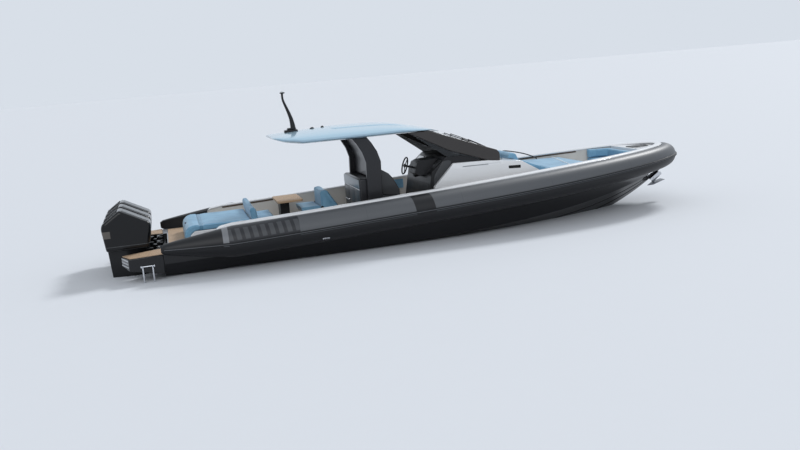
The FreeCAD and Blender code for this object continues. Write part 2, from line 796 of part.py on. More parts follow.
def seat_inside(x0, lift):
    """The line of a helm seat's back and pan, lifted off it by lift."""
    back = x0 + HELM_SEAT_SHELL + lift
    low = HELM_SEAT_SHELL + lift
    return [(back, unit_seat_z(back) + low), (UNIT_X1 + 200.0, unit_seat_z(UNIT_X1 + 200.0) + low)]


def helm_cushion(middle):
    """One helm seat's pad, bent up into its backrest."""
    x0 = UNIT_SEAT_X + SEAT_GAP
    x1 = UNIT_X1 - 12.0
    start = seat_inside(x0, SEAT_GAP)[0]
    low = HELM_SEAT_SHELL + SEAT_GAP
    half = HELM_SEAT_WIDTH / 2.0 - HELM_SEAT_SHELL - SEAT_GAP
    return profile_y([start, (x1, unit_seat_z(x1) + low), (x1, unit_seat_z(x1) + 150.0),
                      (start[0] + 190.0, UNIT_SEAT_Z + 120.0), (start[0] + 95.0, UNIT_SEAT_Z + 160.0),
                      (start[0] + 60.0, HELM_SEAT_TOP_Z - 20.0), (start[0], HELM_SEAT_TOP_Z - 8.0)],
                     middle - half, middle + half)


def roof_z(x):
    """Height of the superstructure's top."""
    return between(x, [(ROOF_AFT_X, ROOF_AFT_Z), (ROOF_MID_X, ROOF_MID_Z), (ROOF_KNEE_X, ROOF_KNEE_Z),
                       (ROOF_FRONT_X, ROOF_FRONT_Z), (COCKPIT_END_X - RUN_GAP, ROOF_END_Z)])


def hood_line():
    """The upper line of the console, from its aft edge to its end under the windscreen."""
    return [(HOOD_X, CONSOLE_Z), (ROOF_AFT_X + 195.0, CONSOLE_Z),
            (ROOF_AFT_X + 615.0, ROOF_AFT_Z + 15.0)]


def console():
    """The helm console with its hood and the binnacle that holds the wheel."""
    foot = SOLE_Z + SEAT_GAP
    front = ROOF_X - SEAT_GAP
    end = hood_line()[-1][0]
    body = profile_y([(CONSOLE_X, foot), (front, foot), (front, ROOF_LEAN_Z),
                      (ROOF_AFT_X - SEAT_GAP, ROOF_AFT_Z + SEAT_GAP), (end, roof_z(end) + SEAT_GAP)]
                     + hood_line()[::-1]
                     + [(CONSOLE_X + 130.0, CONSOLE_Z - 285.0), (CONSOLE_X + 70.0, CONSOLE_Z - 575.0),
                        (CONSOLE_X, CONSOLE_Z - 925.0)], -CONSOLE_HALF, CONSOLE_HALF)
    hood = profile_y([wheel_point(COLUMN_TO_FACE, -110.0), wheel_point(COLUMN_TO_FACE, 115.0),
                      (CONSOLE_X, CONSOLE_Z - 40.0), (CONSOLE_X + 350.0, CONSOLE_Z - 20.0),
                      (CONSOLE_X + 140.0, CONSOLE_Z - 325.0), (CONSOLE_X - 60.0, CONSOLE_Z - 365.0)],
                     HELM_Y - BINNACLE_WIDTH / 2.0, HELM_Y + BINNACLE_WIDTH / 2.0)
    mouth = wheel_point(COLUMN_TO_FACE - 50.0, 0.0)
    end = wheel_point(COLUMN_TO_FACE + COLUMN_SUNK + RUN_GAP, 0.0)
    bore = rod(V(mouth[0], HELM_Y, mouth[1]), V(end[0], HELM_Y, end[1]), COLUMN_R + BORE_GAP)
    return body.fuse(hood).cut(bore)


def wheel_point(along, up):
    """A point beside the steering column: along it from the wheel and up across it."""
    rake = math.radians(WHEEL_RAKE)
    return (WHEEL_X + along * math.cos(rake) + up * math.sin(rake),
            WHEEL_Z - along * math.sin(rake) + up * math.cos(rake))


def steering_wheel():
    """The steering wheel: rim, three spokes and hub, on its column."""
    wheel = Part.makeTorus(WHEEL_R, WHEEL_RIM_R)
    wheel = wheel.fuse(Part.makeCylinder(38.0, 30.0, V(0, 0, -15)))
    wheel = wheel.fuse(Part.makeCylinder(COLUMN_R, COLUMN_TO_FACE + COLUMN_SUNK))
    for turn in (90.0, 210.0, 330.0):
        spoke = box(30.0, WHEEL_R, -14.0, 14.0, -5.0, 5.0)
        spoke.rotate(V(0, 0, 0), V(0, 0, 1), turn)
        wheel = wheel.fuse(spoke)
    wheel.rotate(V(0, 0, 0), V(0, 1, 0), 90.0 + WHEEL_RAKE)
    wheel.translate(V(WHEEL_X, HELM_Y, WHEEL_Z))
    return wheel


def coachroof():
    """The white superstructure ahead of the helm, with a grab groove in each side."""
    foot = SOLE_Z + SEAT_GAP
    front = COCKPIT_END_X - RUN_GAP
    side = profile_y([(ROOF_X, foot), (front, foot), (front, ROOF_END_Z),
                      (ROOF_FRONT_X, ROOF_FRONT_Z), (ROOF_KNEE_X, ROOF_KNEE_Z), (ROOF_MID_X, ROOF_MID_Z),
                      (ROOF_AFT_X, ROOF_AFT_Z), (ROOF_X, ROOF_LEAN_Z - 2.0 * SEAT_GAP)],
                     -ROOF_HALF, ROOF_HALF)
    high = ROOF_AFT_Z + 30.0
    across = [(ROOF_HALF, foot - 1.0), (ROOF_HALF, high - SHOULDER - 60.0),
              (ROOF_HALF - SHOULDER * 0.35, high - SHOULDER * 0.45), (ROOF_HALF - SHOULDER, high)]
    across = across + [(-y, z) for y, z in reversed(across)]
    body = side.common(profile_x(across, ROOF_X - 1.0, front + 1.0))
    deep = ROOF_HALF - GRAB_DEPTH
    groove = box(GRAB_X0, GRAB_X0 + GRAB_LENGTH, deep, ROOF_HALF + 1.0, GRAB_Z, GRAB_Z + GRAB_HEIGHT)
    return body.cut(groove).cut(mirrored(groove))


def screen_arc(x, half, z, bow, drop):
    """A curve across the windscreen, its middle ahead of its ends and lower by drop."""
    return Part.Wire([Part.Arc(V(x, -half, z), V(x + bow, 0, z - drop), V(x, half, z)).toShape()])


def windscreen():
    """The raked windscreen, curved across and along."""
    lift = GLASS_THICK * 0.85 + 6.0 * SEAT_GAP
    x0 = SCREEN_FOOT_X
    x1 = SCREEN_FOOT_X + SCREEN_FOOT_BOW
    foot = screen_arc(x0, SCREEN_FOOT_HALF, roof_z(x0) + lift, SCREEN_FOOT_BOW, roof_z(x0) - roof_z(x1))
    middle_x = (SCREEN_HEAD_X + SCREEN_FOOT_X) / 2.0
    middle = screen_arc(middle_x, (SCREEN_FOOT_HALF + SCREEN_HEAD_HALF) / 2.0,
                        pillar_top(middle_x) - 40.0, SCREEN_MID_BOW, 10.0)
    head = screen_arc(SCREEN_HEAD_X, SCREEN_HEAD_HALF, SCREEN_HEAD_Z, SCREEN_MID_BOW, 45.0)
    sheet = Part.makeLoft([foot, middle, head], False, False)
    return sheet.Faces[0].extrude(V(-GLASS_THICK * 0.5, 0, -GLASS_THICK * 0.85))


def pillar_top(x):
    """Height of the upper edge of the windscreen's side pillars."""
    end = SCREEN_FOOT_X + 30.0
    return between(x, [(SCREEN_HEAD_X - 80.0, TOP_UNDER_Z - SEAT_GAP),
                       (end, roof_z(end) + PILLAR_DEEP)])


def pillar_low():
    """The lower edge of the windscreen's side pillars."""
    heel = SCREEN_FOOT_X + 30.0 - PILLAR_FOOT_LENGTH
    head = SCREEN_HEAD_X - 520.0
    middle = (head + heel) / 2.0
    return [(head, TOP_UNDER_Z - SEAT_GAP), (middle, (TOP_UNDER_Z + roof_z(heel)) / 2.0 - 75.0),
            (heel, roof_z(heel) + SEAT_GAP)]


def windscreen_frame():
    """The port pillar at the windscreen's side."""
    end = SCREEN_FOOT_X + 30.0
    top = SCREEN_HEAD_X - 80.0
    return profile_y(pillar_low() + [(end, roof_z(end) + SEAT_GAP), (end, pillar_top(end) - 40.0),
                                     (end - 60.0, pillar_top(end - 60.0)), (top, pillar_top(top))],
                     PILLAR_Y, PILLAR_Y + PILLAR_WIDTH)


def side_glass():
    """The port quarter glass between the pillar and the console's hood."""
    middle = PILLAR_Y + PILLAR_WIDTH / 2.0
    hood = [(x, z + SEAT_GAP) for x, z in hood_line()]
    end = hood[-1][0] - 20.0
    start = SCREEN_HEAD_X - 460.0
    edge = [(x, between(x, pillar_low()) - 2.0 * SEAT_GAP) for x in (start, pillar_low()[1][0], end)]
    low = [(end, between(end, hood)), hood[1], (start + QUARTER_GLASS, hood[0][1])]
    return profile_y(edge + low, middle - 5.0, middle + 5.0)


def hardtop_section(share):
    """A section of the hardtop across the boat, at a share of its length."""
    x = TOP_AFT_X + TOP_LENGTH * share
    half = TOP_HALF * smooth(share, [(0.0, 0.58), (0.087, 0.831), (0.174, 0.952), (0.348, 0.995),
                                     (0.638, 1.0), (0.812, 0.966), (0.933, 0.85), (1.0, 0.618)])
    low = TOP_UNDER_Z + TOP_CROWN * between(share, [(0.0, 0.49), (0.174, 0.0), (0.942, 0.0), (1.0, -0.2)])
    top = TOP_UNDER_Z + TOP_CROWN * smooth(share, [(0.0, 0.62), (0.087, 0.796), (0.174, 0.878),
                                                   (0.348, 1.0), (0.638, 0.918), (0.812, 0.592),
                                                   (0.933, 0.204), (1.0, -0.114)])
    edge = min(TOP_EDGE, (top - low) * 0.45)
    port = [(half - 45.0, low), (half, low + edge * 0.45), (half - 12.0, low + edge),
            (half * 0.88, low + (top - low) * 0.78), (half * 0.55, top - (top - low) * 0.05),
            (half * 0.3, top)]
    return closed_wire([V(x, y, z) for y, z in port + [(-y, z) for y, z in reversed(port)]])


def hardtop():
    """The moulded hardtop over the helm, with the mast's step on it."""
    shares = (0.0, 0.043, 0.087, 0.13, 0.174, 0.261, 0.348, 0.449, 0.551, 0.638, 0.725, 0.812, 0.878,
              0.942, 0.974, 1.0)
    inside = TOP_UNDER_Z + TOP_CROWN * 0.4
    step = profile_y([(MAST_X - 90.0, inside), (MAST_X + 220.0, inside),
                      (MAST_X + 220.0, MAST_Z - 40.0), (MAST_X + 140.0, MAST_Z),
                      (MAST_X - 90.0, MAST_Z)], -85.0, 85.0)
    return loft([hardtop_section(share) for share in shares]).fuse(step)


def swept(length):
    """A post's edge, upright below and swept aft at its top, this far from its aft edge."""
    rise = TOP_UNDER_Z - SOLE_Z
    line = ((0.0, -25.0), (0.55, 0.0), (0.73, 15.0), (0.84, -45.0), (0.94, -150.0), (1.0, -235.0))
    return [(POST_X + 20.0 + length + x, SOLE_Z + SEAT_GAP + (rise - 2.0 * SEAT_GAP) * share)
            for share, x in line]


def hardtop_post():
    """The port post that carries the hardtop, against the helm unit's side."""
    return profile_y(swept(0.0) + swept(POST_LENGTH)[::-1], POST_Y - POST_WIDTH / 2.0,
                     POST_Y + POST_WIDTH / 2.0)


def post_panel():
    """The curved panel between the posts, from the helm unit's top to the hardtop."""
    side = profile_y(swept(POST_LENGTH / 2.0 - POST_PANEL)
                     + swept(POST_LENGTH / 2.0)[::-1], -POST_Y, POST_Y)
    half = POST_Y - POST_WIDTH / 2.0 - SEAT_GAP
    return side.common(box(POST_X - 400.0, POST_X + 600.0, -half, half, UNIT_Z + SEAT_GAP, TOP_UNDER_Z))


def light_mast():
    """The folding mast with its lights, on a hinge barrel."""
    low = MAST_Z + SEAT_GAP
    foot = box(MAST_X - 60.0, MAST_X + 120.0, -60.0, 60.0, low, MAST_Z + 60.0)
    head = MAST_TOP_Z - 60.0
    blade = profile_y([(MAST_X - 40.0, MAST_Z + 50.0), (MAST_X + 100.0, MAST_Z + 50.0),
                       (MAST_X - 55.0, MAST_KINK_Z), (MAST_X - 75.0, head), (MAST_X - 115.0, head),
                       (MAST_X - 115.0, MAST_KINK_Z)], -18.0, 18.0)
    bar = box(MAST_X - 140.0, MAST_X - 50.0, -60.0, 60.0, head - 1.0, MAST_TOP_Z)
    pin_z = low + MAST_PIN_R
    barrel = rod(V(MAST_X - 60.0, -60.0, pin_z), V(MAST_X - 60.0, 60.0, pin_z), MAST_PIN_R)
    return foot.fuse(blade).fuse(bar).fuse(barrel)


def bow_outline(x0, x1, inset):
    """Outline inside the liner between two stations."""
    rows = [at_station(row, 0.0, 0.0).x for row in stations(0.0)]
    xs = [x0] + [x for x in rows if x0 + 40.0 < x < x1 - 40.0] + [x1]
    port = [(x, inner_half(x, inset)) for x in xs]
    return port + [(x, -y) for x, y in reversed(port)]


def above_hull(shape):
    """The part of a shape that stands above the hull's upper edge."""
    rows = hull_rows()
    line = [(x, z + SEAT_GAP) for x, y, z in rows]
    below = line + [(rows[-1][0], KEEL_Z), (rows[0][0], KEEL_Z)]
    return shape.cut(profile_y(below, -2.0 * TUBE_HALF, 2.0 * TUBE_HALF))


def bow_floor_z():
    """Height of the bow floor, just over the hull's upper edge at the bow seat."""
    return between(BOW_SEAT_X, [(x, z) for x, y, z in hull_rows()]) + BOW_FLOOR_LIFT


def bow_liner():
    """The raised bow moulding under the pad and the seat."""
    x0 = COCKPIT_END_X
    low = SOLE_Z
    pad_top = BOW_BASE_Z - SEAT_GAP
    seat_top = BOW_SEAT_Z - CUSHION - SEAT_GAP
    pad = profile_z(bow_outline(x0, BOW_PAD_END_X, SEAT_GAP), low, pad_top)
    floor = profile_z(bow_outline(x0, BOW_SEAT_X, SEAT_GAP), low, bow_floor_z())
    seat = profile_z(bow_outline(BOW_SEAT_X, FOREDECK_X - SEAT_GAP, SEAT_GAP), low, seat_top)
    return above_hull(pad.fuse(floor).fuse(seat))


def bow_sunpad():
    """The pad ahead of the windscreen, its aft end lying on the roof's slope."""
    x0 = BOW_PAD_X + RUN_GAP
    aft = COCKPIT_END_X - RUN_GAP
    step = aft + SEAT_GAP
    side = profile_y([(x0, roof_z(x0) + SEAT_GAP), (step, ROOF_END_Z + SEAT_GAP),
                      (step, BOW_BASE_Z + SEAT_GAP),
                      (BOW_PAD_END_X, BOW_BASE_Z + SEAT_GAP), (BOW_PAD_END_X, BOW_BASE_Z + PAD_THICK),
                      (PAD_KNEE_X, BOW_BASE_Z + PAD_THICK + 18.0), (x0 + 20.0, roof_z(x0) + PAD_NOSE)],
                     -TUBE_HALF, TUBE_HALF)
    inset = GUNWALE_LIP + RUN_GAP
    port = [(x0 - 5.0, BOW_PAD_AFT_HALF), (aft, BOW_PAD_HALF), (aft + 260.0, inner_half(aft + 260.0, inset)),
            (BOW_PAD_END_X, inner_half(BOW_PAD_END_X, inset))]
    outline = port + [(x, -y) for x, y in reversed(port)]
    return side.common(profile_z(outline, BOW_BASE_Z - 50.0, BOW_BASE_Z + 600.0))


def bow_headrest():
    """The bolster between the windscreen and the bow pad, over the roof's front edge."""
    x0 = SCREEN_FOOT_X + SCREEN_FOOT_BOW + 25.0
    x1 = BOW_PAD_X
    top = ROOF_FRONT_Z + HEADREST_HIGH
    return profile_y([(x0, roof_z(x0) + SEAT_GAP), (ROOF_FRONT_X, ROOF_FRONT_Z + SEAT_GAP),
                      (x1, roof_z(x1) + SEAT_GAP), (x1 + 5.0, top - 150.0), (x1 - 45.0, top - 40.0),
                      (x1 - 110.0, top), (x0 + 50.0, top), (x0, top - 45.0)],
                     -HEADREST_HALF, HEADREST_HALF)


def bow_seat():
    """The bow seat's pad."""
    outline = bow_outline(BOW_SEAT_X, FOREDECK_X - RUN_GAP, 4.0 * SEAT_GAP)
    return profile_z(outline, BOW_SEAT_Z - CUSHION, BOW_SEAT_Z)


def bow_backrest():
    """The U-shaped backrest round the bow seat."""
    low = BOW_SEAT_Z + SEAT_GAP
    inset = GUNWALE_LIP + SEAT_GAP
    outer = profile_z(bow_outline(BOW_SEAT_X, FOREDECK_X - RUN_GAP, inset), low, BOW_BACK_Z)
    inner = profile_z(bow_outline(BOW_SEAT_X - 100.0, FOREDECK_X - 130.0, inset + 130.0),
                      low - 1.0, BOW_BACK_Z + 1.0)
    return outer.cut(inner)


def foredeck():
    """The deck over the bow, with the anchor locker and the ledge for its lid."""
    outline = bow_outline(FOREDECK_X, FOREDECK_END_X, GUNWALE_LIP + SEAT_GAP)
    body = above_hull(profile_z(outline, LOCKER_FLOOR_Z - 500.0, FOREDECK_Z))
    top = FOREDECK_Z + 1.0
    ledge_z = FOREDECK_Z + LID_PROUD - LID_THICK - SEAT_GAP
    pocket = box(LOCKER_X0, LOCKER_X1, -LOCKER_HALF, LOCKER_HALF, ledge_z, top)
    side = LOCKER_HALF - LOCKER_LEDGE
    locker = box(LOCKER_X0 + LOCKER_LEDGE, LOCKER_X1 - LOCKER_LEDGE, -side, side, LOCKER_FLOOR_Z, top)
    return body.cut(pocket).cut(locker)


def anchor_locker_lid():
    """The lid of the anchor locker, with its hinge barrel."""
    top = FOREDECK_Z + LID_PROUD
    half = LOCKER_HALF - RUN_GAP
    x1 = LOCKER_X1 - RUN_GAP
    slab = box(LOCKER_X0 + RUN_GAP, x1, -half, half, top - LID_THICK, top)
    return slab.fuse(rod(V(x1, -60.0, top), V(x1, 60.0, top), LID_PIN_R))


def stem_point(along, out):
    """A point beside the stem: along it from its fitting's foot, and out from it."""
    run = STEM_X1 - STEM_X0
    rise = keel_z(STEM_X1) - keel_z(STEM_X0)
    size = math.hypot(run, rise)
    ux, uz = run / size, rise / size
    return STEM_X0 + ux * along + uz * out, keel_z(STEM_X0) + uz * along - ux * out


def stem_fitting():
    """The steel plate on the stem, with two cheeks, the roller and a towing eye."""
    length = math.hypot(STEM_X1 - STEM_X0, keel_z(STEM_X1) - keel_z(STEM_X0))
    edge = CHEEK_Y + CHEEK_THICK / 2.0
    plate = profile_y([stem_point(0.0, SEAT_GAP), stem_point(length, SEAT_GAP),
                       stem_point(length, 12.0), stem_point(0.0, 12.0)], -edge, edge)
    outline = [stem_point(0.0, SEAT_GAP), stem_point(length, SEAT_GAP),
               stem_point(length + 35.0, 30.0), stem_point(length + 35.0, CHEEK_DEEP - 10.0),
               stem_point(length - 20.0, CHEEK_DEEP), stem_point(20.0, CHEEK_DEEP * 0.7)]
    shape = plate
    for y in (-CHEEK_Y, CHEEK_Y):
        shape = shape.fuse(profile_y(outline, y - CHEEK_THICK / 2.0, y + CHEEK_THICK / 2.0))
    roller = stem_point(length - 5.0, CHEEK_DEEP - 35.0)
    shape = shape.fuse(rod(V(roller[0], -edge, roller[1]), V(roller[0], edge, roller[1]), ROLLER_R))
    eye = stem_point(70.0, 36.0)
    boss = rod(V(eye[0], -edge, eye[1]), V(eye[0], edge, eye[1]), 2.0 * EYE_R)
    hole = rod(V(eye[0], -2.0 * edge, eye[1]), V(eye[0], 2.0 * edge, eye[1]), EYE_R)
    return shape.fuse(boss).cut(hole)


def anchor():
    """The plough anchor, its shank lying on the stem roller."""
    length = math.hypot(STEM_X1 - STEM_X0, keel_z(STEM_X1) - keel_z(STEM_X0))
    near = CHEEK_DEEP - 35.0 + ROLLER_R + SEAT_GAP
    far = near + SHANK_DEEP
    shank = profile_y([stem_point(20.0, near), stem_point(length + 45.0, near),
                       stem_point(length + 45.0, far), stem_point(20.0, far + 30.0)],
                      -SHANK_HALF, SHANK_HALF)
    foot = stem_point(0.0, far + 20.0)
    tip_x, tip_z = foot[0] - 120.0, foot[1] - 40.0
    heel_x, heel_z = foot[0] + 260.0, foot[1] + 60.0
    tip = closed_wire([V(tip_x, 0, tip_z - 14.0), V(tip_x + 10.0, 8, tip_z), V(tip_x + 10.0, -8, tip_z)])
    middle = closed_wire([V(foot[0] + 40.0, 0, foot[1] - 52.0), V(foot[0] + 40.0, 75, foot[1] + 18.0),
                          V(foot[0] + 40.0, -75, foot[1] + 18.0)])
    heel = closed_wire([V(heel_x, 0, heel_z - 46.0), V(heel_x + 20.0, 115, heel_z),
                        V(heel_x + 20.0, -115, heel_z)])
    return loft([tip, middle, heel]).fuse(shank)


def boarding_ladder():
    """The ladder that swings on the starboard platform's side."""
    pin = LADDER_PIN_Y
    out = LADDER_PIN_Y + LADDER_OUT
    shape = rod(V(LADDER_X0 - 40.0, -pin, LADDER_Z), V(LADDER_X1 + 40.0, -pin, LADDER_Z), LADDER_PIN_R)
    for x in (LADDER_X0, LADDER_X1):
        elbow = V(x, -out, LADDER_Z - 50.0)
        shape = shape.fuse(rod(V(x, -pin, LADDER_Z), elbow, LADDER_BAR_R))
        shape = shape.fuse(Part.makeSphere(LADDER_BAR_R, elbow))
        shape = shape.fuse(rod(elbow, V(x, -out, LADDER_FOOT_Z), LADDER_BAR_R))
    for z in (-80.0, -360.0, -640.0):
        shape = shape.fuse(box(LADDER_X0, LADDER_X1, -out - 25.0, -out + 25.0, z - 14.0, z + 14.0))
    return shape


def ladder_lug(x):
    """One lug on the platform's side, with the ladder's pin hole."""
    y0 = PLATFORM_OUT + SEAT_GAP
    y1 = LADDER_PIN_Y + 22.0
    plate = box(x - LUG_THICK / 2.0, x + LUG_THICK / 2.0, -y1, -y0, LADDER_Z - 22.0, LADDER_Z + 22.0)
    hole = rod(V(x - LUG_THICK, -LADDER_PIN_Y, LADDER_Z), V(x + LUG_THICK, -LADDER_PIN_Y, LADDER_Z),
               LADDER_PIN_R + BORE_GAP)
    return plate.cut(hole)


def transom_clamp(y):
    """The fixed clamp bracket of one engine, with its tilt pin."""
    front = TRANSOM_X - SEAT_GAP
    aft = TILT_X - 40.0
    shape = box(front - 22.0, front, y - CLAMP_OUT, y + CLAMP_OUT, CLAMP_LOW_Z, BOARD_TOP_Z - 10.0)
    for side in (y - CLAMP_OUT, y + CLAMP_IN):
        cheek = profile_y([(front, CLAMP_LOW_Z), (front, TILT_Z + 30.0), (aft, TILT_Z + 30.0),
                           (aft, TILT_Z - 60.0), (aft + 50.0, CLAMP_LOW_Z)],
                          side, side + CLAMP_OUT - CLAMP_IN)
        shape = shape.fuse(cheek)
    pin = rod(V(TILT_X, y - CLAMP_OUT, TILT_Z), V(TILT_X, y + CLAMP_OUT, TILT_Z), TILT_PIN_R)
    return shape.fuse(pin)


def swivel_bracket(y):
    """The tilting bracket that carries the engine's steering pivot."""
    width = CLAMP_IN - 20.0
    boss = rod(V(TILT_X, y - width, TILT_Z), V(TILT_X, y + width, TILT_Z), 42.0)
    arm = box(STEER_X, TILT_X, y - BARREL_R, y + BARREL_R, BARREL_Z0 + RUN_GAP, BARREL_Z1 - RUN_GAP)
    barrel = rod(V(STEER_X, y, BARREL_Z0), V(STEER_X, y, BARREL_Z1), BARREL_R)
    shape = boss.fuse(arm).fuse(barrel)
    shape = shape.cut(rod(V(TILT_X, y - 200.0, TILT_Z), V(TILT_X, y + 200.0, TILT_Z),
                          TILT_PIN_R + BORE_GAP))
    return shape.cut(rod(V(STEER_X, y, BARREL_Z0 - 50.0), V(STEER_X, y, BARREL_Z1 + 50.0),
                         STEER_PIN_R + BORE_GAP))


def foil(x0, x1, y, half, z):
    """A closed section in plan, blunt forward and slim aft."""
    length = x1 - x0
    port = [(x1, half * 0.3), (x1 - length * 0.05, half * 0.68), (x1 - length * 0.15, half * 0.92),
            (x1 - length * 0.3, half), (x1 - length * 0.6, half * 0.85), (x0, half * 0.2)]
    other = [(x, -w) for x, w in reversed(port)]
    return closed_wire([V(x, y + w, z) for x, w in port + other])


def outboard_leg(y):
    """One engine's leg: midsection, yokes and king pin, plate, gearcase and skeg."""
    aft = STEER_X - BARREL_R - 10.0
    shape = loft([foil(LEG_AFT_X, aft, y, LEG_HALF, COWL_BOTTOM_Z),
                  foil(LEG_AFT_X + 35.0, aft, y, LEG_HALF, 0.0),
                  foil(-880.0, aft - 20.0, y, LEG_HALF * 0.72, PLATE_Z + 60.0),
                  foil(-860.0, aft - 30.0, y, LEG_HALF * 0.5, PLATE_Z),
                  foil(-750.0, -330.0, y, 34.0, PROP_Z)])
    for z in (BARREL_Z0 - RUN_GAP - YOKE_THICK, BARREL_Z1 + RUN_GAP):
        shape = shape.fuse(Part.makeCylinder(YOKE_R, YOKE_THICK, V(STEER_X, y, z)))
        shape = shape.fuse(box(aft - 60.0, STEER_X, y - YOKE_R, y + YOKE_R, z, z + YOKE_THICK))
    shape = shape.fuse(rod(V(STEER_X, y, BARREL_Z0 - RUN_GAP), V(STEER_X, y, BARREL_Z1 + RUN_GAP),
                           STEER_PIN_R))
    plate = profile_z([(-1120.0, y - 110.0), (-1120.0, y + 110.0), (-820.0, y + 150.0),
                       (-360.0, y + 60.0), (-360.0, y - 60.0), (-820.0, y - 150.0)],
                      PLATE_Z - PLATE_THICK / 2.0, PLATE_Z + PLATE_THICK / 2.0)
    start = HUB_FRONT_X + RUN_GAP
    case = Part.makeCylinder(HUB_R, CASE_LENGTH, V(start, y, PROP_Z), V(1, 0, 0))
    nose = Part.makeCone(HUB_R, 14.0, 170.0, V(start + CASE_LENGTH, y, PROP_Z), V(1, 0, 0))
    skeg = loft([foil(-770.0, -400.0, y, 12.0, PROP_Z), foil(-760.0, -560.0, y, 7.0, SKEG_Z)])
    bore = rod(V(start - 50.0, y, PROP_Z), V(HUB_FRONT_X + SHAFT_LENGTH + RUN_GAP, y, PROP_Z),
               SHAFT_R + BORE_GAP)
    return shape.fuse(plate).fuse(case).fuse(nose).fuse(skeg).cut(bore)


def cowl_outline(y, inset):
    """A cowl's side outline, drawn in by inset."""
    foot = COWL_BOTTOM_Z + SEAT_GAP
    points = [(COWL_FRONT_X, COWL_FRONT_Z), (COWL_PEAK_X, COWL_PEAK_Z), (COWL_BACK_X, COWL_BACK_Z),
              (COWL_AFT_X, COWL_AFT_Z), (COWL_HEEL_X, foot), (COWL_FOOT_X, foot),
              (COWL_CHIN_X, COWL_CHIN_Z)]
    mx = sum(p[0] for p in points) / len(points)
    mz = sum(p[1] for p in points) / len(points)
    moved = []
    for x, z in points:
        size = math.hypot(x - mx, z - mz)
        drawn = z if z == foot else z - (z - mz) / size * inset
        moved.append(V(x - (x - mx) / size * inset, y, drawn))
    return closed_wire(moved)


def outboard_cowl(y):
    """One engine's cowl, with bevelled shoulders."""
    inner = COWL_HALF - COWL_BEVEL
    return loft([cowl_outline(y - COWL_HALF, COWL_BEVEL), cowl_outline(y - inner, 0.0),
                 cowl_outline(y + inner, 0.0), cowl_outline(y + COWL_HALF, COWL_BEVEL)])


def propeller_blade():
    """One blade, twisted from its root to its tip."""
    wires = []
    for radius, chord, pitch, thick in ((45.0, 100.0, 52.0, 9.0), (95.0, 130.0, 40.0, 7.0),
                                        (145.0, 120.0, 31.0, 5.0), (PROP_R - 3.0, 60.0, 25.0, 2.5)):
        half = chord / 2.0
        wire = closed_wire([V(-half, 0, radius), V(0, -thick / 2.0, radius), V(half, 0, radius),
                            V(0, thick / 2.0, radius)])
        wire.rotate(V(0, 0, 0), V(0, 0, 1), pitch)
        wires.append(wire)
    return loft(wires)


def propeller(y):
    """A three-bladed propeller with its hub and shaft."""
    aft = HUB_FRONT_X - HUB_LENGTH
    shape = rod(V(aft, y, PROP_Z), V(HUB_FRONT_X, y, PROP_Z), HUB_R - 4.0)
    shape = shape.fuse(rod(V(aft, y, PROP_Z), V(HUB_FRONT_X + SHAFT_LENGTH, y, PROP_Z), SHAFT_R))
    for turn in (0.0, 120.0, 240.0):
        blade = propeller_blade()
        blade.rotate(V(0, 0, 0), V(1, 0, 0), turn)
        blade.translate(V(HUB_FRONT_X - HUB_LENGTH / 2.0, y, PROP_Z))
        shape = shape.fuse(blade)
    return shape


def save_pair(name, shape):
    """Write a port piece and its mirror image as two nodes."""
    save(name + "_port", shape)
    save(name + "_starboard", mirrored(shape))


def save_both(node, shape):
    """Write a port piece and its mirror image as one node."""
    save(node, shape, mirrored(shape))


hull = whole_hull()
save_pair("tube", tube())
save_pair("rub_rail", rub_rail())
save_pair("liner", liner())
save("hull_bottom", hull_bottom(hull))
save("hull_sides", hull_sides(hull))
save("cockpit_sole", cockpit_sole())
save("aft_deck", aft_deck())
save("transom_board", transom_board())
save_both("side_platforms", side_platform())
save("deck_teak", platform_teak(), mirrored(platform_teak()), deck_teak())
save("sunpad_base", sunpad_base())
save("sunpad_aft_cushion", sunpad_aft_cushion())
save("sunpad_cushion", sunpad_cushion())
save("settee_backrest", settee_backrest())
save("settee_cushion", settee_cushion())
save("table_top", table_top())
save("table_pedestal", table_pedestal())
save("lounge_base", lounge_base())
save("lounge_seat_cushion", lounge_seat_cushion())
save("lounge_backrest", lounge_backrest())
save("helm_unit", helm_unit())
save("helm_seats", helm_seat(HELM_SEAT_Y), helm_seat(-HELM_SEAT_Y))
save("helm_seat_cushions", helm_cushion(HELM_SEAT_Y), helm_cushion(-HELM_SEAT_Y))
save("console", console())
save("coachroof", coachroof())
save("windscreen", windscreen())
save_both("windscreen_frame", windscreen_frame())
save_both("side_glass", side_glass())
save("hardtop", hardtop())
save("hardtop_posts", hardtop_post(), mirrored(hardtop_post()), post_panel())
save("light_mast", light_mast())
save("steering_wheel", steering_wheel())
save("bow_liner", bow_liner())
save("bow_sunpad", bow_sunpad())
save("bow_headrest", bow_headrest())
save("bow_seat", bow_seat())
save("bow_backrest", bow_backrest())
save("foredeck", foredeck())
save("anchor_locker_lid", anchor_locker_lid())
save("stem_fitting", stem_fitting())
save("anchor", anchor())
save("boarding_ladder", boarding_ladder())
save("ladder_lugs", ladder_lug(LADDER_X0 - 30.0), ladder_lug(LADDER_X1 + 30.0))
for side, y in (("starboard", -ENGINE_PITCH), ("centre", 0.0), ("port", ENGINE_PITCH)):
    save("swivel_%s" % side, swivel_bracket(y))
    save("cowl_%s" % side, outboard_cowl(y))
    save("leg_%s" % side, outboard_leg(y))
    save("propeller_%s" % side, propeller(y))
save("transom_clamps", *[transom_clamp(y) for y in (-ENGINE_PITCH, 0.0, ENGINE_PITCH)])
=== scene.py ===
import logging
import math
from dataclasses import dataclass
from enum import Enum
from typing import Callable, Optional, Sequence, Union

import bmesh
import bpy
import numpy as np
from mathutils import Matrix, Vector
from mathutils.bvhtree import BVHTree


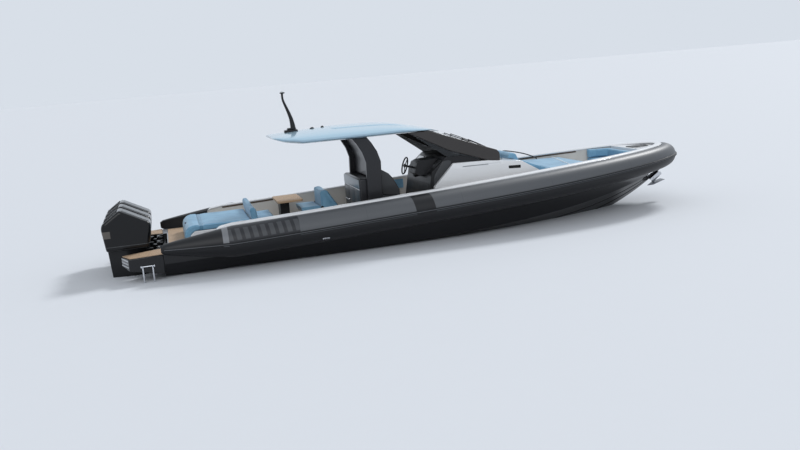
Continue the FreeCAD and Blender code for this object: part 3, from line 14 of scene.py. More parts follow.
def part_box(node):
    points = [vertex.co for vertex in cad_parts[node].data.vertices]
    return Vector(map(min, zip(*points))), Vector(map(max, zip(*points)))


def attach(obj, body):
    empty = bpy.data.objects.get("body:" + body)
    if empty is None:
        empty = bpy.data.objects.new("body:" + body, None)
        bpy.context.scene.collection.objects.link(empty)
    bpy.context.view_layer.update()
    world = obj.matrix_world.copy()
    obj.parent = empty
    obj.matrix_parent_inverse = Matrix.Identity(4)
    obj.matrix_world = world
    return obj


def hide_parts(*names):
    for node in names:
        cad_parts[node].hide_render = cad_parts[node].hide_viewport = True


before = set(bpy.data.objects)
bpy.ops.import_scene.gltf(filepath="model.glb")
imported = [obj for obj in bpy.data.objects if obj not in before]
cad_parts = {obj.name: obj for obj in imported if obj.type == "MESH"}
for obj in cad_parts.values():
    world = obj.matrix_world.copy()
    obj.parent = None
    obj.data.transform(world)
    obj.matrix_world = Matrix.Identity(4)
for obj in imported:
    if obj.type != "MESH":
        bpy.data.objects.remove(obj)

logging.basicConfig(level=logging.INFO, format="%(name)s: %(message)s")
log = logging.getLogger("rib_boat")

Colour = tuple[float, float, float]
Place = tuple[float, float, float]
Point = Sequence[float]
Values = Union[float, np.ndarray]
Number = Union[float, "Wire"]
HULL = "hull"
# Each engine's side and its place across the boat, in metres
ENGINES = (("starboard", -0.7), ("centre", 0.0), ("port", 0.7))
# The gap between pieces that seat on each other, in metres
SEAT_GAP = 0.0003
# The tube is cut flat on its inner side, at this share of its radius
FLAT_SHARE = 0.5
# An edge between faces that meet at more than this angle in degrees stays sharp
SHARP = 35.0
DOWN = (0.0, 0.0, -1.0)
# Takes a point from one side of the boat to the other
MIRROR = np.array([1.0, -1.0, 1.0])


def tint(red: int, green: int, blue: int) -> Colour:
    """A screen colour of 0 to 255 as the linear light that renders as it."""
    parts = [value / 255.0 for value in (red, green, blue)]
    return tuple(p / 12.92 if p <= 0.04045 else ((p + 0.055) / 1.055) ** 2.4 for p in parts)


class Wire:
    """A node's output that takes part in Python arithmetic."""

    def __init__(self, shader: "Shader", socket: bpy.types.NodeSocket) -> None:
        """Keep the shader and the socket.

        Args:
            shader: the material builder that owns the node.
            socket: the output to calculate with.
        """
        self.shader = shader
        self.socket = socket

    def __add__(self, other: Number) -> "Wire":
        """The sum."""
        return self.shader.math("ADD", self, other)

    __radd__ = __add__

    def __sub__(self, other: Number) -> "Wire":
        """The difference."""
        return self.shader.math("SUBTRACT", self, other)

    def __rsub__(self, other: Number) -> "Wire":
        """A number less this."""
        return self.shader.math("SUBTRACT", other, self)

    def __mul__(self, other: Number) -> "Wire":
        """The product."""
        return self.shader.math("MULTIPLY", self, other)

    __rmul__ = __mul__

    def __truediv__(self, other: Number) -> "Wire":
        """The quotient."""
        return self.shader.math("DIVIDE", self, other)

    def fraction(self) -> "Wire":
        """What is left after the whole number is taken off."""
        return self.shader.math("FRACT", self)

    def floor(self) -> "Wire":
        """The whole number below."""
        return self.shader.math("FLOOR", self)

    def size(self) -> "Wire":
        """The value without its sign."""
        return self.shader.math("ABSOLUTE", self)

    def step(self, low: float, high: float) -> "Wire":
        """A smooth step from 0 at low to 1 at high.

        Args:
            low: where the step starts.
            high: where it is complete; below low for a falling step.

        Returns:
            The stepped value.
        """
        made = self.shader.node("ShaderNodeMapRange", {"interpolation_type": "SMOOTHSTEP"},
                                {"Value": self, "From Min": low, "From Max": high})
        return Wire(self.shader, made.outputs["Result"])


class Shader:
    """One material and the nodes that make it."""

    def __init__(self, name: str) -> None:
        """Start a material with a Principled shader.

        Args:
            name: the material's name.
        """
        self.material = bpy.data.materials.new(name)
        self.material.use_nodes = True
        self.tree = self.material.node_tree
        self.tree.nodes.clear()
        self.body = self.node("ShaderNodeBsdfPrincipled")
        output = self.node("ShaderNodeOutputMaterial")
        self.tree.links.new(self.body.outputs["BSDF"], output.inputs["Surface"])
        self._spot: Optional[Wire] = None

    def node(self, kind: str, settings: Optional[dict] = None,
             inputs: Optional[dict] = None) -> bpy.types.Node:
        """Add a node.

        Args:
            kind: the node's type.
            settings: its own properties, set first.
            inputs: values or wires for its sockets, by name or number.

        Returns:
            The new node.
        """
        made = self.tree.nodes.new(kind)
        for key, value in (settings or {}).items():
            setattr(made, key, value)
        for key, value in (inputs or {}).items():
            if isinstance(value, Wire):
                self.tree.links.new(value.socket, made.inputs[key])
            else:
                made.inputs[key].default_value = value
        return made

    def math(self, operation: str, *values: Number) -> Wire:
        """A Math node on numbers or wires."""
        made = self.node("ShaderNodeMath", {"operation": operation}, dict(enumerate(values)))
        return Wire(self, made.outputs[0])

    def mix(self, factor: Number, first: Union[Colour, Wire], second: Union[Colour, Wire]) -> Wire:
        """A colour between two colours.

        Args:
            factor: 0 for the first colour, 1 for the second.
            first: a colour or a wire of colour.
            second: a colour or a wire of colour.

        Returns:
            The mixed colour.
        """
        ends = [c if isinstance(c, Wire) else (*c, 1.0) for c in (first, second)]
        made = self.node("ShaderNodeMix", {"data_type": "RGBA"},
                         {0: factor, 6: ends[0], 7: ends[1]})
        return Wire(self, made.outputs[2])

    def axes(self, vector: Wire) -> tuple[Wire, Wire, Wire]:
        """The x, y and z of a vector."""
        parts = self.node("ShaderNodeSeparateXYZ", None, {0: vector})
        return tuple(Wire(self, parts.outputs[key]) for key in "XYZ")

    def spot(self) -> Wire:
        """The object coordinates in metres, from one node.

        Returns:
            The wire of the vector.
        """
        if self._spot is None:
            self._spot = Wire(self, self.node("ShaderNodeTexCoord").outputs["Object"])
        return self._spot

    def place(self) -> tuple[Wire, Wire, Wire]:
        """The object coordinates x, y and z in metres."""
        return self.axes(self.spot())

    def surface(self) -> tuple[Wire, Wire]:
        """The piece's own map: how far along it, and how far round it."""
        chart = self.node("ShaderNodeUVMap", {"uv_map": "along_round"})
        return self.axes(Wire(self, chart.outputs["UV"]))[:2]

    def noise(self, scale: float, stretch: Place = (1.0, 1.0, 1.0), detail: float = 3.0) -> Wire:
        """Noise of 0 to 1 over the object.

        Args:
            scale: bumps to the metre.
            stretch: how much finer it is along each axis.
            detail: octaves of finer noise.

        Returns:
            The noise value.
        """
        scaled = self.node("ShaderNodeMapping", None, {"Vector": self.spot(), "Scale": stretch})
        made = self.node("ShaderNodeTexNoise", None,
                         {"Vector": Wire(self, scaled.outputs["Vector"]), "Scale": scale,
                          "Detail": detail, "Roughness": 0.55})
        return Wire(self, made.outputs[0])

    def bump(self, height: Wire, depth: float, strength: float = 1.0) -> Wire:
        """A bumped normal.

        Args:
            height: the height, of 0 to 1.
            depth: how deep 1 is, in metres.
            strength: the bump's share.

        Returns:
            The normal.
        """
        made = self.node("ShaderNodeBump", None,
                         {"Height": height, "Distance": depth, "Strength": strength})
        return Wire(self, made.outputs["Normal"])

    def dress(self, **sockets: Union[float, Colour, Wire]) -> bpy.types.Material:
        """Set the shader's sockets; an underscore stands for a space.

        Args:
            **sockets: values, colours or wires by the socket's name.

        Returns:
            The material.
        """
        for key, value in sockets.items():
            socket = self.body.inputs[key.replace("_", " ")]
            if isinstance(value, Wire):
                self.tree.links.new(value.socket, socket)
            else:
                socket.default_value = (*value, 1.0) if isinstance(value, tuple) else value
        return self.material


@dataclass(frozen=True)
class Moulding:
    """Gelcoat, lacquer or moulded plastic: even colour with faint clouding and orange peel."""

    name: str
    colour: Colour
    roughness: float = 0.25
    coat: float = 0.5
    clouding: float = 0.05
    peel: float = 0.00015
    grain: float = 60.0
    gloss: float = 0.5

    def build(self) -> bpy.types.Material:
        """Make the material: slow noise clouds the colour, fine noise is the peel.

        Returns:
            The material.
        """
        s = Shader(self.name)
        cloud = s.noise(1.7)
        dark = tuple(c * (1.0 - 2.0 * self.clouding) for c in self.colour)
        rough = self.roughness * (0.85 + 0.3 * s.noise(6.0))
        return s.dress(Base_Color=self.patched(s, s.mix(cloud, dark, self.colour)), Roughness=rough,
                       Coat_Weight=self.coat, Coat_Roughness=0.08, Specular_IOR_Level=self.gloss,
                       Normal=s.bump(s.noise(self.grain), self.peel))

    def patched(self, s: Shader, colour: Wire) -> Wire:
        """The colour with any painted patches, of which a plain moulding has none."""
        return colour


@dataclass(frozen=True)
class EnginePaint(Moulding):
    """Engine lacquer with a bronze-grey patch round the aft shoulder."""

    patch: Colour = (0.1, 0.09, 0.08)
    aft: float = -0.9
    low: float = 0.80
    high: float = 0.935
    blend: float = 0.006

    def patched(self, s: Shader, colour: Wire) -> Wire:
        """The colour, and the patch where x and z lie in its range.

        Args:
            s: the material's shader.
            colour: the plain colour.

        Returns:
            The colour with the patch.
        """
        x, _, z = s.place()
        share = x.step(self.aft + 0.004, self.aft) * z.step(self.low, self.low + self.blend)
        share = share * z.step(self.high + self.blend, self.high)
        return s.mix(share, colour, self.patch)


@dataclass(frozen=True)
class Upholstery:
    """Coated marine cloth: fine grain, soft sheen and sewn channels."""

    name: str
    colour: Colour
    shade: Colour
    channel: str = ""
    pitch: float = 0.3
    threads: float = 700.0
    stitches: float = 90.0

    def build(self) -> bpy.types.Material:
        """Make the material; threads cross as two fine waves, a channel is a narrow groove darkened
        with painted shade.

        Returns:
            The material.
        """
        s = Shader(self.name)
        x, y, z = s.place()
        weave = [((way * self.threads).fraction() - 0.5).size() for way in (x, y + z)]
        leather = s.noise(170.0, detail=2.0)
        wear = s.noise(3.0, detail=4.0)
        colour = s.mix(wear.step(0.35, 0.75), self.colour, self.shade)
        colour = s.mix(leather.step(0.45, 0.2) * 0.25, colour, self.shade)
        height = leather * 0.12 + (weave[0] + weave[1]) * 0.05
        if self.channel:
            along = {"X": x, "Y": y, "Z": z}[self.channel] / self.pitch
            away = (along.fraction() - 0.5).size()
            seam = away.step(0.5 - 0.010 / self.pitch, 0.5 - 0.001 / self.pitch)
            stitch = ((x + y + z) * self.stitches).fraction().step(0.55, 0.7)
            thread = seam * stitch * away.step(0.5 - 0.005 / self.pitch, 0.5 - 0.004 / self.pitch)
            # Painted shade: the channel's groove is darkened where shade falls in the crease.
            colour = s.mix(seam * 0.45, colour, tuple(c * 0.55 for c in self.shade))
            colour = s.mix(thread * 0.5, colour, tuple(min(1.0, c * 1.5) for c in self.colour))
            height = height + (1.0 - seam)
        return s.dress(Base_Color=colour, Roughness=0.5 + 0.18 * leather, Sheen_Weight=0.25,
                       Sheen_Roughness=0.4, Normal=s.bump(height, 0.0045, 0.7))


@dataclass(frozen=True)
class Planks:
    """Teak planks along the boat with dark caulked seams."""

    name: str
    light: Colour
    dark: Colour
    seam: Colour
    width: float = 0.055
    caulk: float = 0.055

    def build(self) -> bpy.types.Material:
        """Make the material: each plank has a tone from its own number, and long grain.

        Returns:
            The material.
        """
        s = Shader(self.name)
        across = s.place()[1] / self.width
        plank = across.floor()
        gap = (across.fraction() - 0.5).size().step(0.5 - self.caulk, 0.5 - self.caulk * 0.45)
        tone = ((plank * 12.9898 + 4.1).fraction() * 43.7).fraction()
        grain = s.noise(6.0, (0.9, 16.0, 4.0), 5.0)
        fibre = s.noise(70.0, (0.25, 5.0, 5.0), 3.0)
        wood = s.mix(grain * 0.6 + tone * 0.35 + fibre * 0.15, self.light, self.dark)
        height = (1.0 - gap) * (0.85 + fibre * 0.15)
        return s.dress(Base_Color=s.mix(gap, wood, self.seam), Roughness=0.5 + fibre * 0.25,
                       Normal=s.bump(height, 0.0015, 0.8))


@dataclass(frozen=True)
class TubeCloth:
    """The air tube's coated cloth with its coloured zones and welded seams."""

    name: str
    grey: Colour
    black: Colour
    pale: Colour
    cone_end: float = 1.13
    pale_end: float = 1.24
    dark_end: float = 2.58
    band: tuple[float, float] = (4.86, 5.26)
    band_slant: float = 0.24
    strips: float = 6.3
    panel: float = 1.95

    @staticmethod
    def between(value: Wire, low: float, high: float, blend: float = 0.01) -> Wire:
        """1 where the value lies from low to high, and 0 elsewhere."""
        return value.step(low, low + blend) * value.step(high + blend, high)

    def build(self) -> bpy.types.Material:
        """Make the material from the distance along the tube and the angle round it.

        Returns:
            The material.
        """
        s = Shader(self.name)
        along, turn = s.surface()
        top = turn.step(0.475, 0.485)
        slope = along + (turn - 0.6) * self.band_slant
        inside = self.between(slope, *self.band)
        cone = along.step(self.cone_end + 0.01, self.cone_end)
        pale = self.between(along, self.cone_end, self.pale_end)
        zone = self.between(along, self.pale_end, self.dark_end)
        strips = ((slope * self.strips).fraction() - 0.5).size().step(0.2, 0.23)
        strips = strips * turn.step(0.53, 0.535) * turn.step(0.672, 0.667)
        cloth = s.mix(s.noise(2.2, detail=4.0) * 0.4, self.grey, tuple(c * 0.8 for c in self.grey))
        colour = s.mix(pale, cloth, self.pale)
        dark = s.mix(strips * 0.5, tuple(c * 2.2 for c in self.black), self.grey)
        colour = s.mix(zone * (1.0 - s.noise(3.0) * 0.1), colour, dark)
        colour = s.mix(inside, colour, self.black)
        colour = s.mix(cone, colour, self.black)
        colour = s.mix(1.0 - top, colour, self.black)
        weave = s.noise(420.0, detail=2.0)
        seam = ((along / self.panel).fraction() - 0.5).size().step(0.4975, 0.499)
        height = weave * 0.25 + (1.0 - seam) * 0.75
        return s.dress(Base_Color=s.mix(seam * 0.3, colour, self.black), Specular_IOR_Level=0.35,
                       Roughness=0.34 + weave * 0.16, Normal=s.bump(height, 0.0008, 0.5))


@dataclass(frozen=True)
class Metal:
    """Polished or brushed steel with faint drawn marks."""

    name: str
    colour: Colour
    roughness: float = 0.14
    marks: float = 0.00006

    def build(self) -> bpy.types.Material:
        """Make the material: noise drawn out across the marks roughens and bumps it.

        Returns:
            The material.
        """
        s = Shader(self.name)
        drawn = s.noise(90.0, (0.3, 4.0, 4.0), 3.0)
        return s.dress(Base_Color=self.colour, Metallic=1.0,
                       Roughness=self.roughness * (0.7 + 0.7 * drawn),
                       Normal=s.bump(drawn, self.marks, 0.6))


@dataclass(frozen=True)
class TintedGlass:
    """Tinted glazing that lets some of the background through."""

    name: str
    colour: Colour
    alpha: float
    roughness: float = 0.04
    coat: float = 0.5

    def build(self) -> bpy.types.Material:
        """Make the material: a little clearer where it is cleaner.

        Returns:
            The material.
        """
        s = Shader(self.name)
        dust = s.noise(5.0, detail=4.0)
        return s.dress(Base_Color=self.colour, Roughness=self.roughness + dust * 0.05,
                       Alpha=self.alpha + dust * 0.04, Coat_Weight=self.coat, Coat_Roughness=0.03,
                       Specular_IOR_Level=0.35)


BLUE, BLUE_SHADE = tint(120, 168, 198), tint(100, 148, 180)


class Look(Enum):
    """Every finish on the boat."""

    TUBE = TubeCloth("tube_cloth", tint(88, 91, 95), tint(21, 22, 25), tint(120, 123, 128))
    RAIL = Moulding("rail_rubber", tint(28, 29, 32), 0.45, 0.0, 0.08, 0.0004, 240.0, 0.3)
    # The bead's pale grey is a painted highlight on the dark rubber rail.
    RAIL_LINE = Moulding("rail_bead_painted_highlight", tint(92, 95, 100), 0.4, 0.0, 0.06, 0.0003, 240.0)
    HULL = Moulding("hull_gelcoat", tint(16, 17, 21), 0.14, 0.3, 0.1, gloss=0.25)
    WHITE = Moulding("white_gelcoat", tint(230, 233, 237), 0.22, 0.5, 0.02)
    CREAM = Moulding("cream_gelcoat", tint(203, 202, 198), 0.35, 0.2, 0.03)
    GREY = Moulding("grey_gelcoat", tint(146, 150, 156), 0.3, 0.3, 0.04)
    TEAK = Planks("teak_planks", tint(196, 172, 146), tint(160, 132, 104), tint(46, 40, 36))
    TRIM = Planks("dark_teak", tint(84, 66, 50), tint(58, 46, 36), tint(30, 27, 25), 0.03, 0.04)
    CUSHION = Upholstery("blue_upholstery", BLUE, BLUE_SHADE)
    LONG_CHANNELS = Upholstery("blue_upholstery_long_channels", BLUE, BLUE_SHADE, "Y", 0.587)
    CROSS_CHANNELS = Upholstery("blue_upholstery_cross_channels", BLUE, BLUE_SHADE, "X", 0.42)
    BACK_CHANNELS = Upholstery("blue_upholstery_back_channels", tint(112, 160, 190),
                               tint(92, 140, 172), "Y", 0.22)
    PIPING = Upholstery("blue_piping", tint(92, 140, 170), tint(80, 126, 156))
    # Painted highlight: this pale band across the bow pad stands for the pad's glossy sheen, not a
    # real tape.
    TAPE = Upholstery("bow_pad_painted_highlight", tint(222, 230, 236), tint(208, 218, 226))
    NAVY = Moulding("navy_plastic", tint(34, 62, 92), 0.4, 0.1, 0.05, 0.0003, 140.0)
    TOP = Moulding("pale_blue_lacquer", tint(176, 208, 228), 0.2, 0.7, 0.03)
    UNDER = Moulding("headlining", tint(44, 48, 54), 0.6, 0.0, 0.06, 0.0003, 200.0, 0.3)
    CHARCOAL = Moulding("charcoal_lacquer", tint(38, 39, 43), 0.32, 0.15, 0.05, gloss=0.3)
    PILLAR = Moulding("satin_pillar", tint(52, 49, 48), 0.36, 0.2, 0.05, gloss=0.4)
    GRAPHITE = Moulding("graphite_panel", tint(56, 58, 61), 0.38, 0.2, 0.05, 0.0003, 160.0, 0.35)
    SLATE = Moulding("slate_panel", tint(96, 110, 122), 0.3, 0.3, 0.04)
    RIBBED = Moulding("ribbed_trim", tint(186, 190, 196), 0.45, 0.1, 0.04, 0.0003, 120.0)
    BLACK = Moulding("black_trim", tint(22, 23, 26), 0.42, 0.1, 0.08, 0.0004, 150.0, 0.3)
    LEATHER = Moulding("charcoal_leather", tint(34, 36, 40), 0.55, 0.0, 0.1, 0.0007, 130.0, 0.3)
    STEEL = Metal("polished_steel", tint(206, 208, 212))
    ANCHOR = Metal("anchor_steel", tint(104, 107, 112), 0.24, 0.0001)
    PROP = Metal("brushed_steel", tint(170, 172, 176), 0.3, 0.0002)
    ENGINE = EnginePaint("engine_lacquer", tint(14, 15, 18), 0.16, 0.25, 0.06, gloss=0.2,
                         patch=tint(92, 88, 84))
    SATIN = Moulding("satin_grey_panel", tint(84, 88, 92), 0.34, 0.15, 0.05, gloss=0.4)
    LEG = Moulding("leg_paint", tint(19, 20, 23), 0.34, 0.15, 0.08, gloss=0.25)
    SCREEN = TintedGlass("windscreen_glass", tint(26, 29, 33), 0.9)
    SIDE = TintedGlass("side_glass", tint(30, 34, 38), 0.8, 0.04, 0.15)
    LAMP = TintedGlass("lamp_lens", tint(225, 230, 235), 0.9, 0.1)
    DISPLAY = Moulding("display_glass", tint(14, 17, 22), 0.06, 0.8, 0.1)

    @property
    def material(self) -> bpy.types.Material:
        """The finish's material, made once."""
        known = bpy.data.materials.get(self.value.name)
        return known or self.value.build()


def dress(piece: bpy.types.Object, look: Look) -> bpy.types.Object:
    """Give a piece one material all over.

    Args:
        piece: the piece.
        look: its finish.

    Returns:
        The same piece.
    """
    piece.data.materials.clear()
    piece.data.materials.append(look.material)
    return piece


def dress_nodes(look: Look, *nodes: str) -> None:
    """Give CAD nodes that stay a material.

    Args:
        look: the finish.
        *nodes: the nodes' names.
    """
    for node in nodes:
        dress(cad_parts[node], look)
        log.info("%s stays, in %s", node, look.name)


def settle(piece: bpy.types.Object, look: Optional[Look] = None, body: str = HULL,
           nodes: Sequence[str] = ()) -> bpy.types.Object:
    """Fix a finished piece to its body.

    Args:
        piece: the piece, in place.
        look: its finish, unless it is dressed already.
        body: the CAD body that carries it.
        nodes: the CAD nodes that it stands for.

    Returns:
        The same piece.
    """
    if look is not None:
        dress(piece, look)
    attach(piece, body)
    if nodes:
        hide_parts(*nodes)
    log.info("%s on %s: %d faces", piece.name, body, len(piece.data.polygons))
    return piece


def add_object(name: str, data: Optional[bpy.types.ID]) -> bpy.types.Object:
    """Link a mesh, lamp or camera to the scene as an object at the origin.

    Args:
        name: the object's name.
        data: what it shows.

    Returns:
        The object.
    """
    piece = bpy.data.objects.new(name, data)
    bpy.context.scene.collection.objects.link(piece)
    return piece


def vectors(items: bpy.types.bpy_prop_collection, key: str) -> np.ndarray:
    """One row for each vertex or face of a mesh.

    Args:
        items: the mesh's vertices or polygons.
        key: what is asked of each, such as co, normal or center.

    Returns:
        The rows of x, y and z.
    """
    rows = np.empty(len(items) * 3, np.float32)
    items.foreach_get(key, rows)
    return rows.reshape(-1, 3)


def grid(x: Values, y: Values, z: Values) -> np.ndarray:
    """Points from their coordinates, broadcast together."""
    return np.stack(np.broadcast_arrays(x, y, z), -1)


def tidy_mesh(mesh: bpy.types.Mesh, merge: float = 0.00005, sharp: float = SHARP,
              flat: float = 0.0) -> None:
    """Merge doubles, turn faces outwards and shade smooth up to an angle.

    Args:
        mesh: the mesh to tidy.
        merge: how near two points are to become one, in metres.
        sharp: the angle in degrees past which an edge stays sharp.
        flat: faces that meet within this angle in degrees become one, if above 0.
    """
    work = bmesh.new()
    work.from_mesh(mesh)
    bmesh.ops.remove_doubles(work, verts=work.verts, dist=merge)
    bmesh.ops.dissolve_degenerate(work, edges=work.edges, dist=merge)
    if flat > 0.0:
        bmesh.ops.dissolve_limit(work, angle_limit=math.radians(flat), verts=work.verts,
                                 edges=work.edges)
    bmesh.ops.recalc_face_normals(work, faces=work.faces)
    work.to_mesh(mesh)
    work.free()
    mesh.polygons.foreach_set("use_smooth", np.ones(len(mesh.polygons), bool))
    mesh.set_sharp_from_angle(angle=math.radians(sharp))


def surface(name: str, points: np.ndarray, caps: bool = True,
            chart: Optional[np.ndarray] = None, sharp: float = SHARP) -> bpy.types.Object:
    """A surface on a grid of points: rows along it, columns round it, the last next to the first.

    Args:
        name: the piece's name.
        points: an array of rows, columns and coordinates.
        caps: whether the first and last rows are closed by a face.
        chart: two coordinates for each grid point, kept as the map along_round.
        sharp: the angle in degrees past which an edge stays sharp.

    Returns:
        The object.
    """
    rows, columns = points.shape[:2]
    index = np.arange(rows * columns).reshape(rows, columns)
    ahead = np.roll(index, -1, axis=1)
    quads = np.stack([index[:-1], ahead[:-1], ahead[1:], index[1:]], -1).reshape(-1, 4)
    faces = quads.tolist()
    if caps:
        faces += [index[0][::-1].tolist(), index[-1].tolist()]
    mesh = bpy.data.meshes.new(name)
    mesh.from_pydata(points.reshape(-1, 3), [], faces)
    if chart is not None:
        corners = np.empty(len(mesh.loops), np.int32)
        mesh.loops.foreach_get("vertex_index", corners)
        layer = mesh.uv_layers.new(name="along_round")
        layer.data.foreach_set("uv", chart.reshape(-1, 2)[corners].astype(np.float32).ravel())
    tidy_mesh(mesh, sharp=sharp)
    return add_object(name, mesh)


def bevelled(piece: bpy.types.Object, width: float, segments: int = 2) -> bpy.types.Object:
    """Round a piece's edges with a modifier, where its faces meet at more than 28 degrees.

    Args:
        piece: the piece.
        width: the width of the rounding.
        segments: the faces across it.

    Returns:
        The same piece.
    """
    edge = piece.modifiers.new("rounded_edges", "BEVEL")
    edge.width = width
    edge.segments = segments
    edge.limit_method = "ANGLE"
    edge.angle_limit = math.radians(28.0)
    edge.use_clamp_overlap = True
    return piece


def node_copy(name: str, node: str) -> bpy.types.Object:
    """A copy of a CAD node, its doubles merged and its flat faces joined, ready for rounding.

    Args:
        name: the new piece's name.
        node: the node to copy.

    Returns:
        The object.
    """
    work = bmesh.new()
    work.from_mesh(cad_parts[node].data)
    mesh = bpy.data.meshes.new(name)
    work.to_mesh(mesh)
    work.free()
    tidy_mesh(mesh, merge=0.0001, flat=1.0)
    return add_object(name, mesh)


def rounded_node(node: str, width: float, look: Look, body: str = HULL,
                 segments: int = 2) -> bpy.types.Object:
    """A CAD node's own form with rounded edges, standing for it."""
    piece = bevelled(node_copy(node + "_form", node), width, segments)
    return settle(piece, look, body, [node])


def rounded_loop(corners: Sequence[Point], radius: float, steps: int = 5) -> np.ndarray:
    """A closed outline with each corner turned on a curve.

    Each corner is a quadratic curve from the point on one side to the point on the other.

    Args:
        corners: the outline's corners in order.
        radius: how far from the corner the curve starts.
        steps: points on each curve.

    Returns:
        The outline's points, one row each.
    """
    here = np.array(corners, float)
    back = np.roll(here, 1, axis=0) - here
    ahead = np.roll(here, -1, axis=0) - here
    back_size = np.linalg.norm(back, axis=1, keepdims=True)
    ahead_size = np.linalg.norm(ahead, axis=1, keepdims=True)
    start = here + back / back_size * np.minimum(radius, back_size * 0.45)
    end = here + ahead / ahead_size * np.minimum(radius, ahead_size * 0.45)
    t = np.linspace(0.0, 1.0, steps)[None, :, None]
    curve = (1 - t) ** 2 * start[:, None] + 2 * t * (1 - t) * here[:, None] + t ** 2 * end[:, None]
    return curve.reshape(-1, 2)


def swept_tube(name: str, path: Sequence[Point], radius: Union[float, Point], sides: int = 12,
               closed: bool = False) -> bpy.types.Object:
    """A round bar along a path: each ring lies across the path's direction there.

    Args:
        name: the piece's name.
        path: the path's points, one row each.
        radius: one radius, or one for each point.
        sides: points round each ring.
        closed: whether the path joins up.

    Returns:
        The object.
    """
    path = np.array(path, float)
    if closed:
        ahead = np.roll(path, -1, axis=0) - np.roll(path, 1, axis=0)
    else:
        ahead = np.gradient(path, axis=0)
    ahead /= np.linalg.norm(ahead, axis=1, keepdims=True)
    normal = np.empty_like(ahead)
    side = np.cross(ahead[0], (0.0, 0.0, 1.0))
    if np.linalg.norm(side) < 0.2:
        side = np.cross(ahead[0], (0.0, 1.0, 0.0))
    for i, direction in enumerate(ahead):
        side = side - direction * side.dot(direction)
        side /= np.linalg.norm(side)
        normal[i] = side
    other = np.cross(ahead, normal)
    turn = np.linspace(0.0, 2.0 * np.pi, sides, endpoint=False)
    size = np.broadcast_to(np.asarray(radius, float), (len(path),))[:, None, None]
    ring = (normal[:, None] * np.cos(turn)[None, :, None]
            + other[:, None] * np.sin(turn)[None, :, None])
    points = path[:, None] + ring * size
    if closed:
        points = np.concatenate([points, points[:1]])
    return surface(name, points, caps=not closed)


def bar(name: str, path: Sequence[Point], radius: Union[float, Point], look: Look,
        sides: int = 12) -> bpy.types.Object:
    """A dressed round bar along a path."""
    return dress(swept_tube(name, path, radius, sides), look)


def disc(name: str, spot: Point, levels: Point, radii: Union[float, Point], look: Look,
         sides: int = 12) -> bpy.types.Object:
    """A dressed turned piece: rings of the given radii at heights over a point.

    Args:
        name: the piece's name.
        spot: the point.
        levels: each ring's height over it.
        radii: each ring's radius, or one for all.
        look: its finish.
        sides: points round each ring.

    Returns:
        The object.
    """
    x, y, z = spot
    return bar(name, [(x, y, z + level) for level in levels], radii, look, sides)


def smooth_path(corners: Sequence[Point], steps: int = 8) -> np.ndarray:
    """A smooth curve through points, as a chain of cubic spans.

    Args:
        corners: the points to pass through.
        steps: points on each span.

    Returns:
        The curve's points, one row each.
    """
    p = np.array(corners, float)
    p = np.concatenate([2 * p[:1] - p[1:2], p, 2 * p[-1:] - p[-2:-1]])
    t = np.linspace(0.0, 1.0, steps, endpoint=False)[None, :, None]
    a, b, c, d = (p[i:len(p) - 3 + i, None] for i in range(4))
    span = 0.5 * (2 * b + (c - a) * t + (2 * a - 5 * b + 4 * c - d) * t ** 2
                  + (3 * b - a - 3 * c + d) * t ** 3)
    return np.concatenate([span.reshape(-1, p.shape[1]), p[-2:-1]])


def rounded_ends(low: float, high: float, edge: float) -> tuple[np.ndarray, np.ndarray]:
    """Levels from low to high and how far each is drawn in: a quarter circle at both ends.

    Args:
        low: the first level.
        high: the last level, above it or below it.
        edge: the quarter circles' radius.

    Returns:
        The levels, and the distances that they are drawn in.
    """
    turn = np.linspace(0.0, np.pi / 2.0, 4)
    sign = 1.0 if high > low else -1.0
    drawn = edge * (1 - np.sin(turn))
    level = np.concatenate([low + sign * edge * (1 - np.cos(turn)),
                            (high - sign * edge * (1 - np.cos(turn)))[::-1]])
    return level, np.concatenate([drawn, drawn[::-1]])


def block(name: str, low: Point, high: Point, radius: float,
          turn: Optional[Matrix] = None) -> bpy.types.Object:
    """A rounded block: a rounded outline in plan, carried up with drawn-in ends.

    Args:
        name: the piece's name.
        low: its lowest corner.
        high: its highest corner.
        radius: the corner radius.
        turn: a turn about its middle, if any.

    Returns:
        The object.
    """
    low, high = np.array(low, float), np.array(high, float)
    middle, half = (low + high) / 2.0, (high - low) / 2.0
    radius = min(radius, *(half * 0.95))
    level, inset = rounded_ends(-half[2], half[2], radius)
    corners = np.array([(1, 1), (-1, 1), (-1, -1), (1, -1)], float)
    start = np.arctan2(corners[:, 1], corners[:, 0]) - np.pi / 4.0
    bend = start[:, None] + np.linspace(0.0, np.pi / 2.0, 5)
    arc = np.stack([np.cos(bend), np.sin(bend)], -1)
    own = np.maximum(radius - inset, radius * 0.02)[:, None, None, None]
    ring = ((corners * (half[:2] - radius))[:, None] + own * arc).reshape(len(level), -1, 2)
    points = grid(ring[..., 0], ring[..., 1], level[:, None])
    if turn is not None:
        points = points @ np.array(turn.to_3x3()).T
    return surface(name, points + middle)


def slab(name: str, middle: Point, half: Point, radius: float, look: Look,
         turn: Optional[Matrix] = None) -> bpy.types.Object:
    """A dressed rounded block from its middle and its half sizes."""
    low, high = np.subtract(middle, half), np.add(middle, half)
    return dress(block(name, low, high, radius, turn), look)


def joined(name: str, pieces: Sequence[bpy.types.Object]) -> bpy.types.Object:
    """Join pieces of one finish each into one object with all their finishes.

    Args:
        name: the new piece's name.
        pieces: the pieces, which are removed.

    Returns:
        The object.
    """
    work = bmesh.new()
    mesh = bpy.data.meshes.new(name)
    for piece in pieces:
        material, faces = piece.data.materials[0], piece.data.polygons
        if material not in mesh.materials[:]:
            mesh.materials.append(material)
        number = mesh.materials[:].index(material)
        faces.foreach_set("material_index", np.full(len(faces), number, np.int32))
        work.from_mesh(piece.data)
        bpy.data.objects.remove(piece)
    work.to_mesh(mesh)
    work.free()
    mesh.set_sharp_from_angle(angle=math.radians(SHARP))
    return add_object(name, mesh)


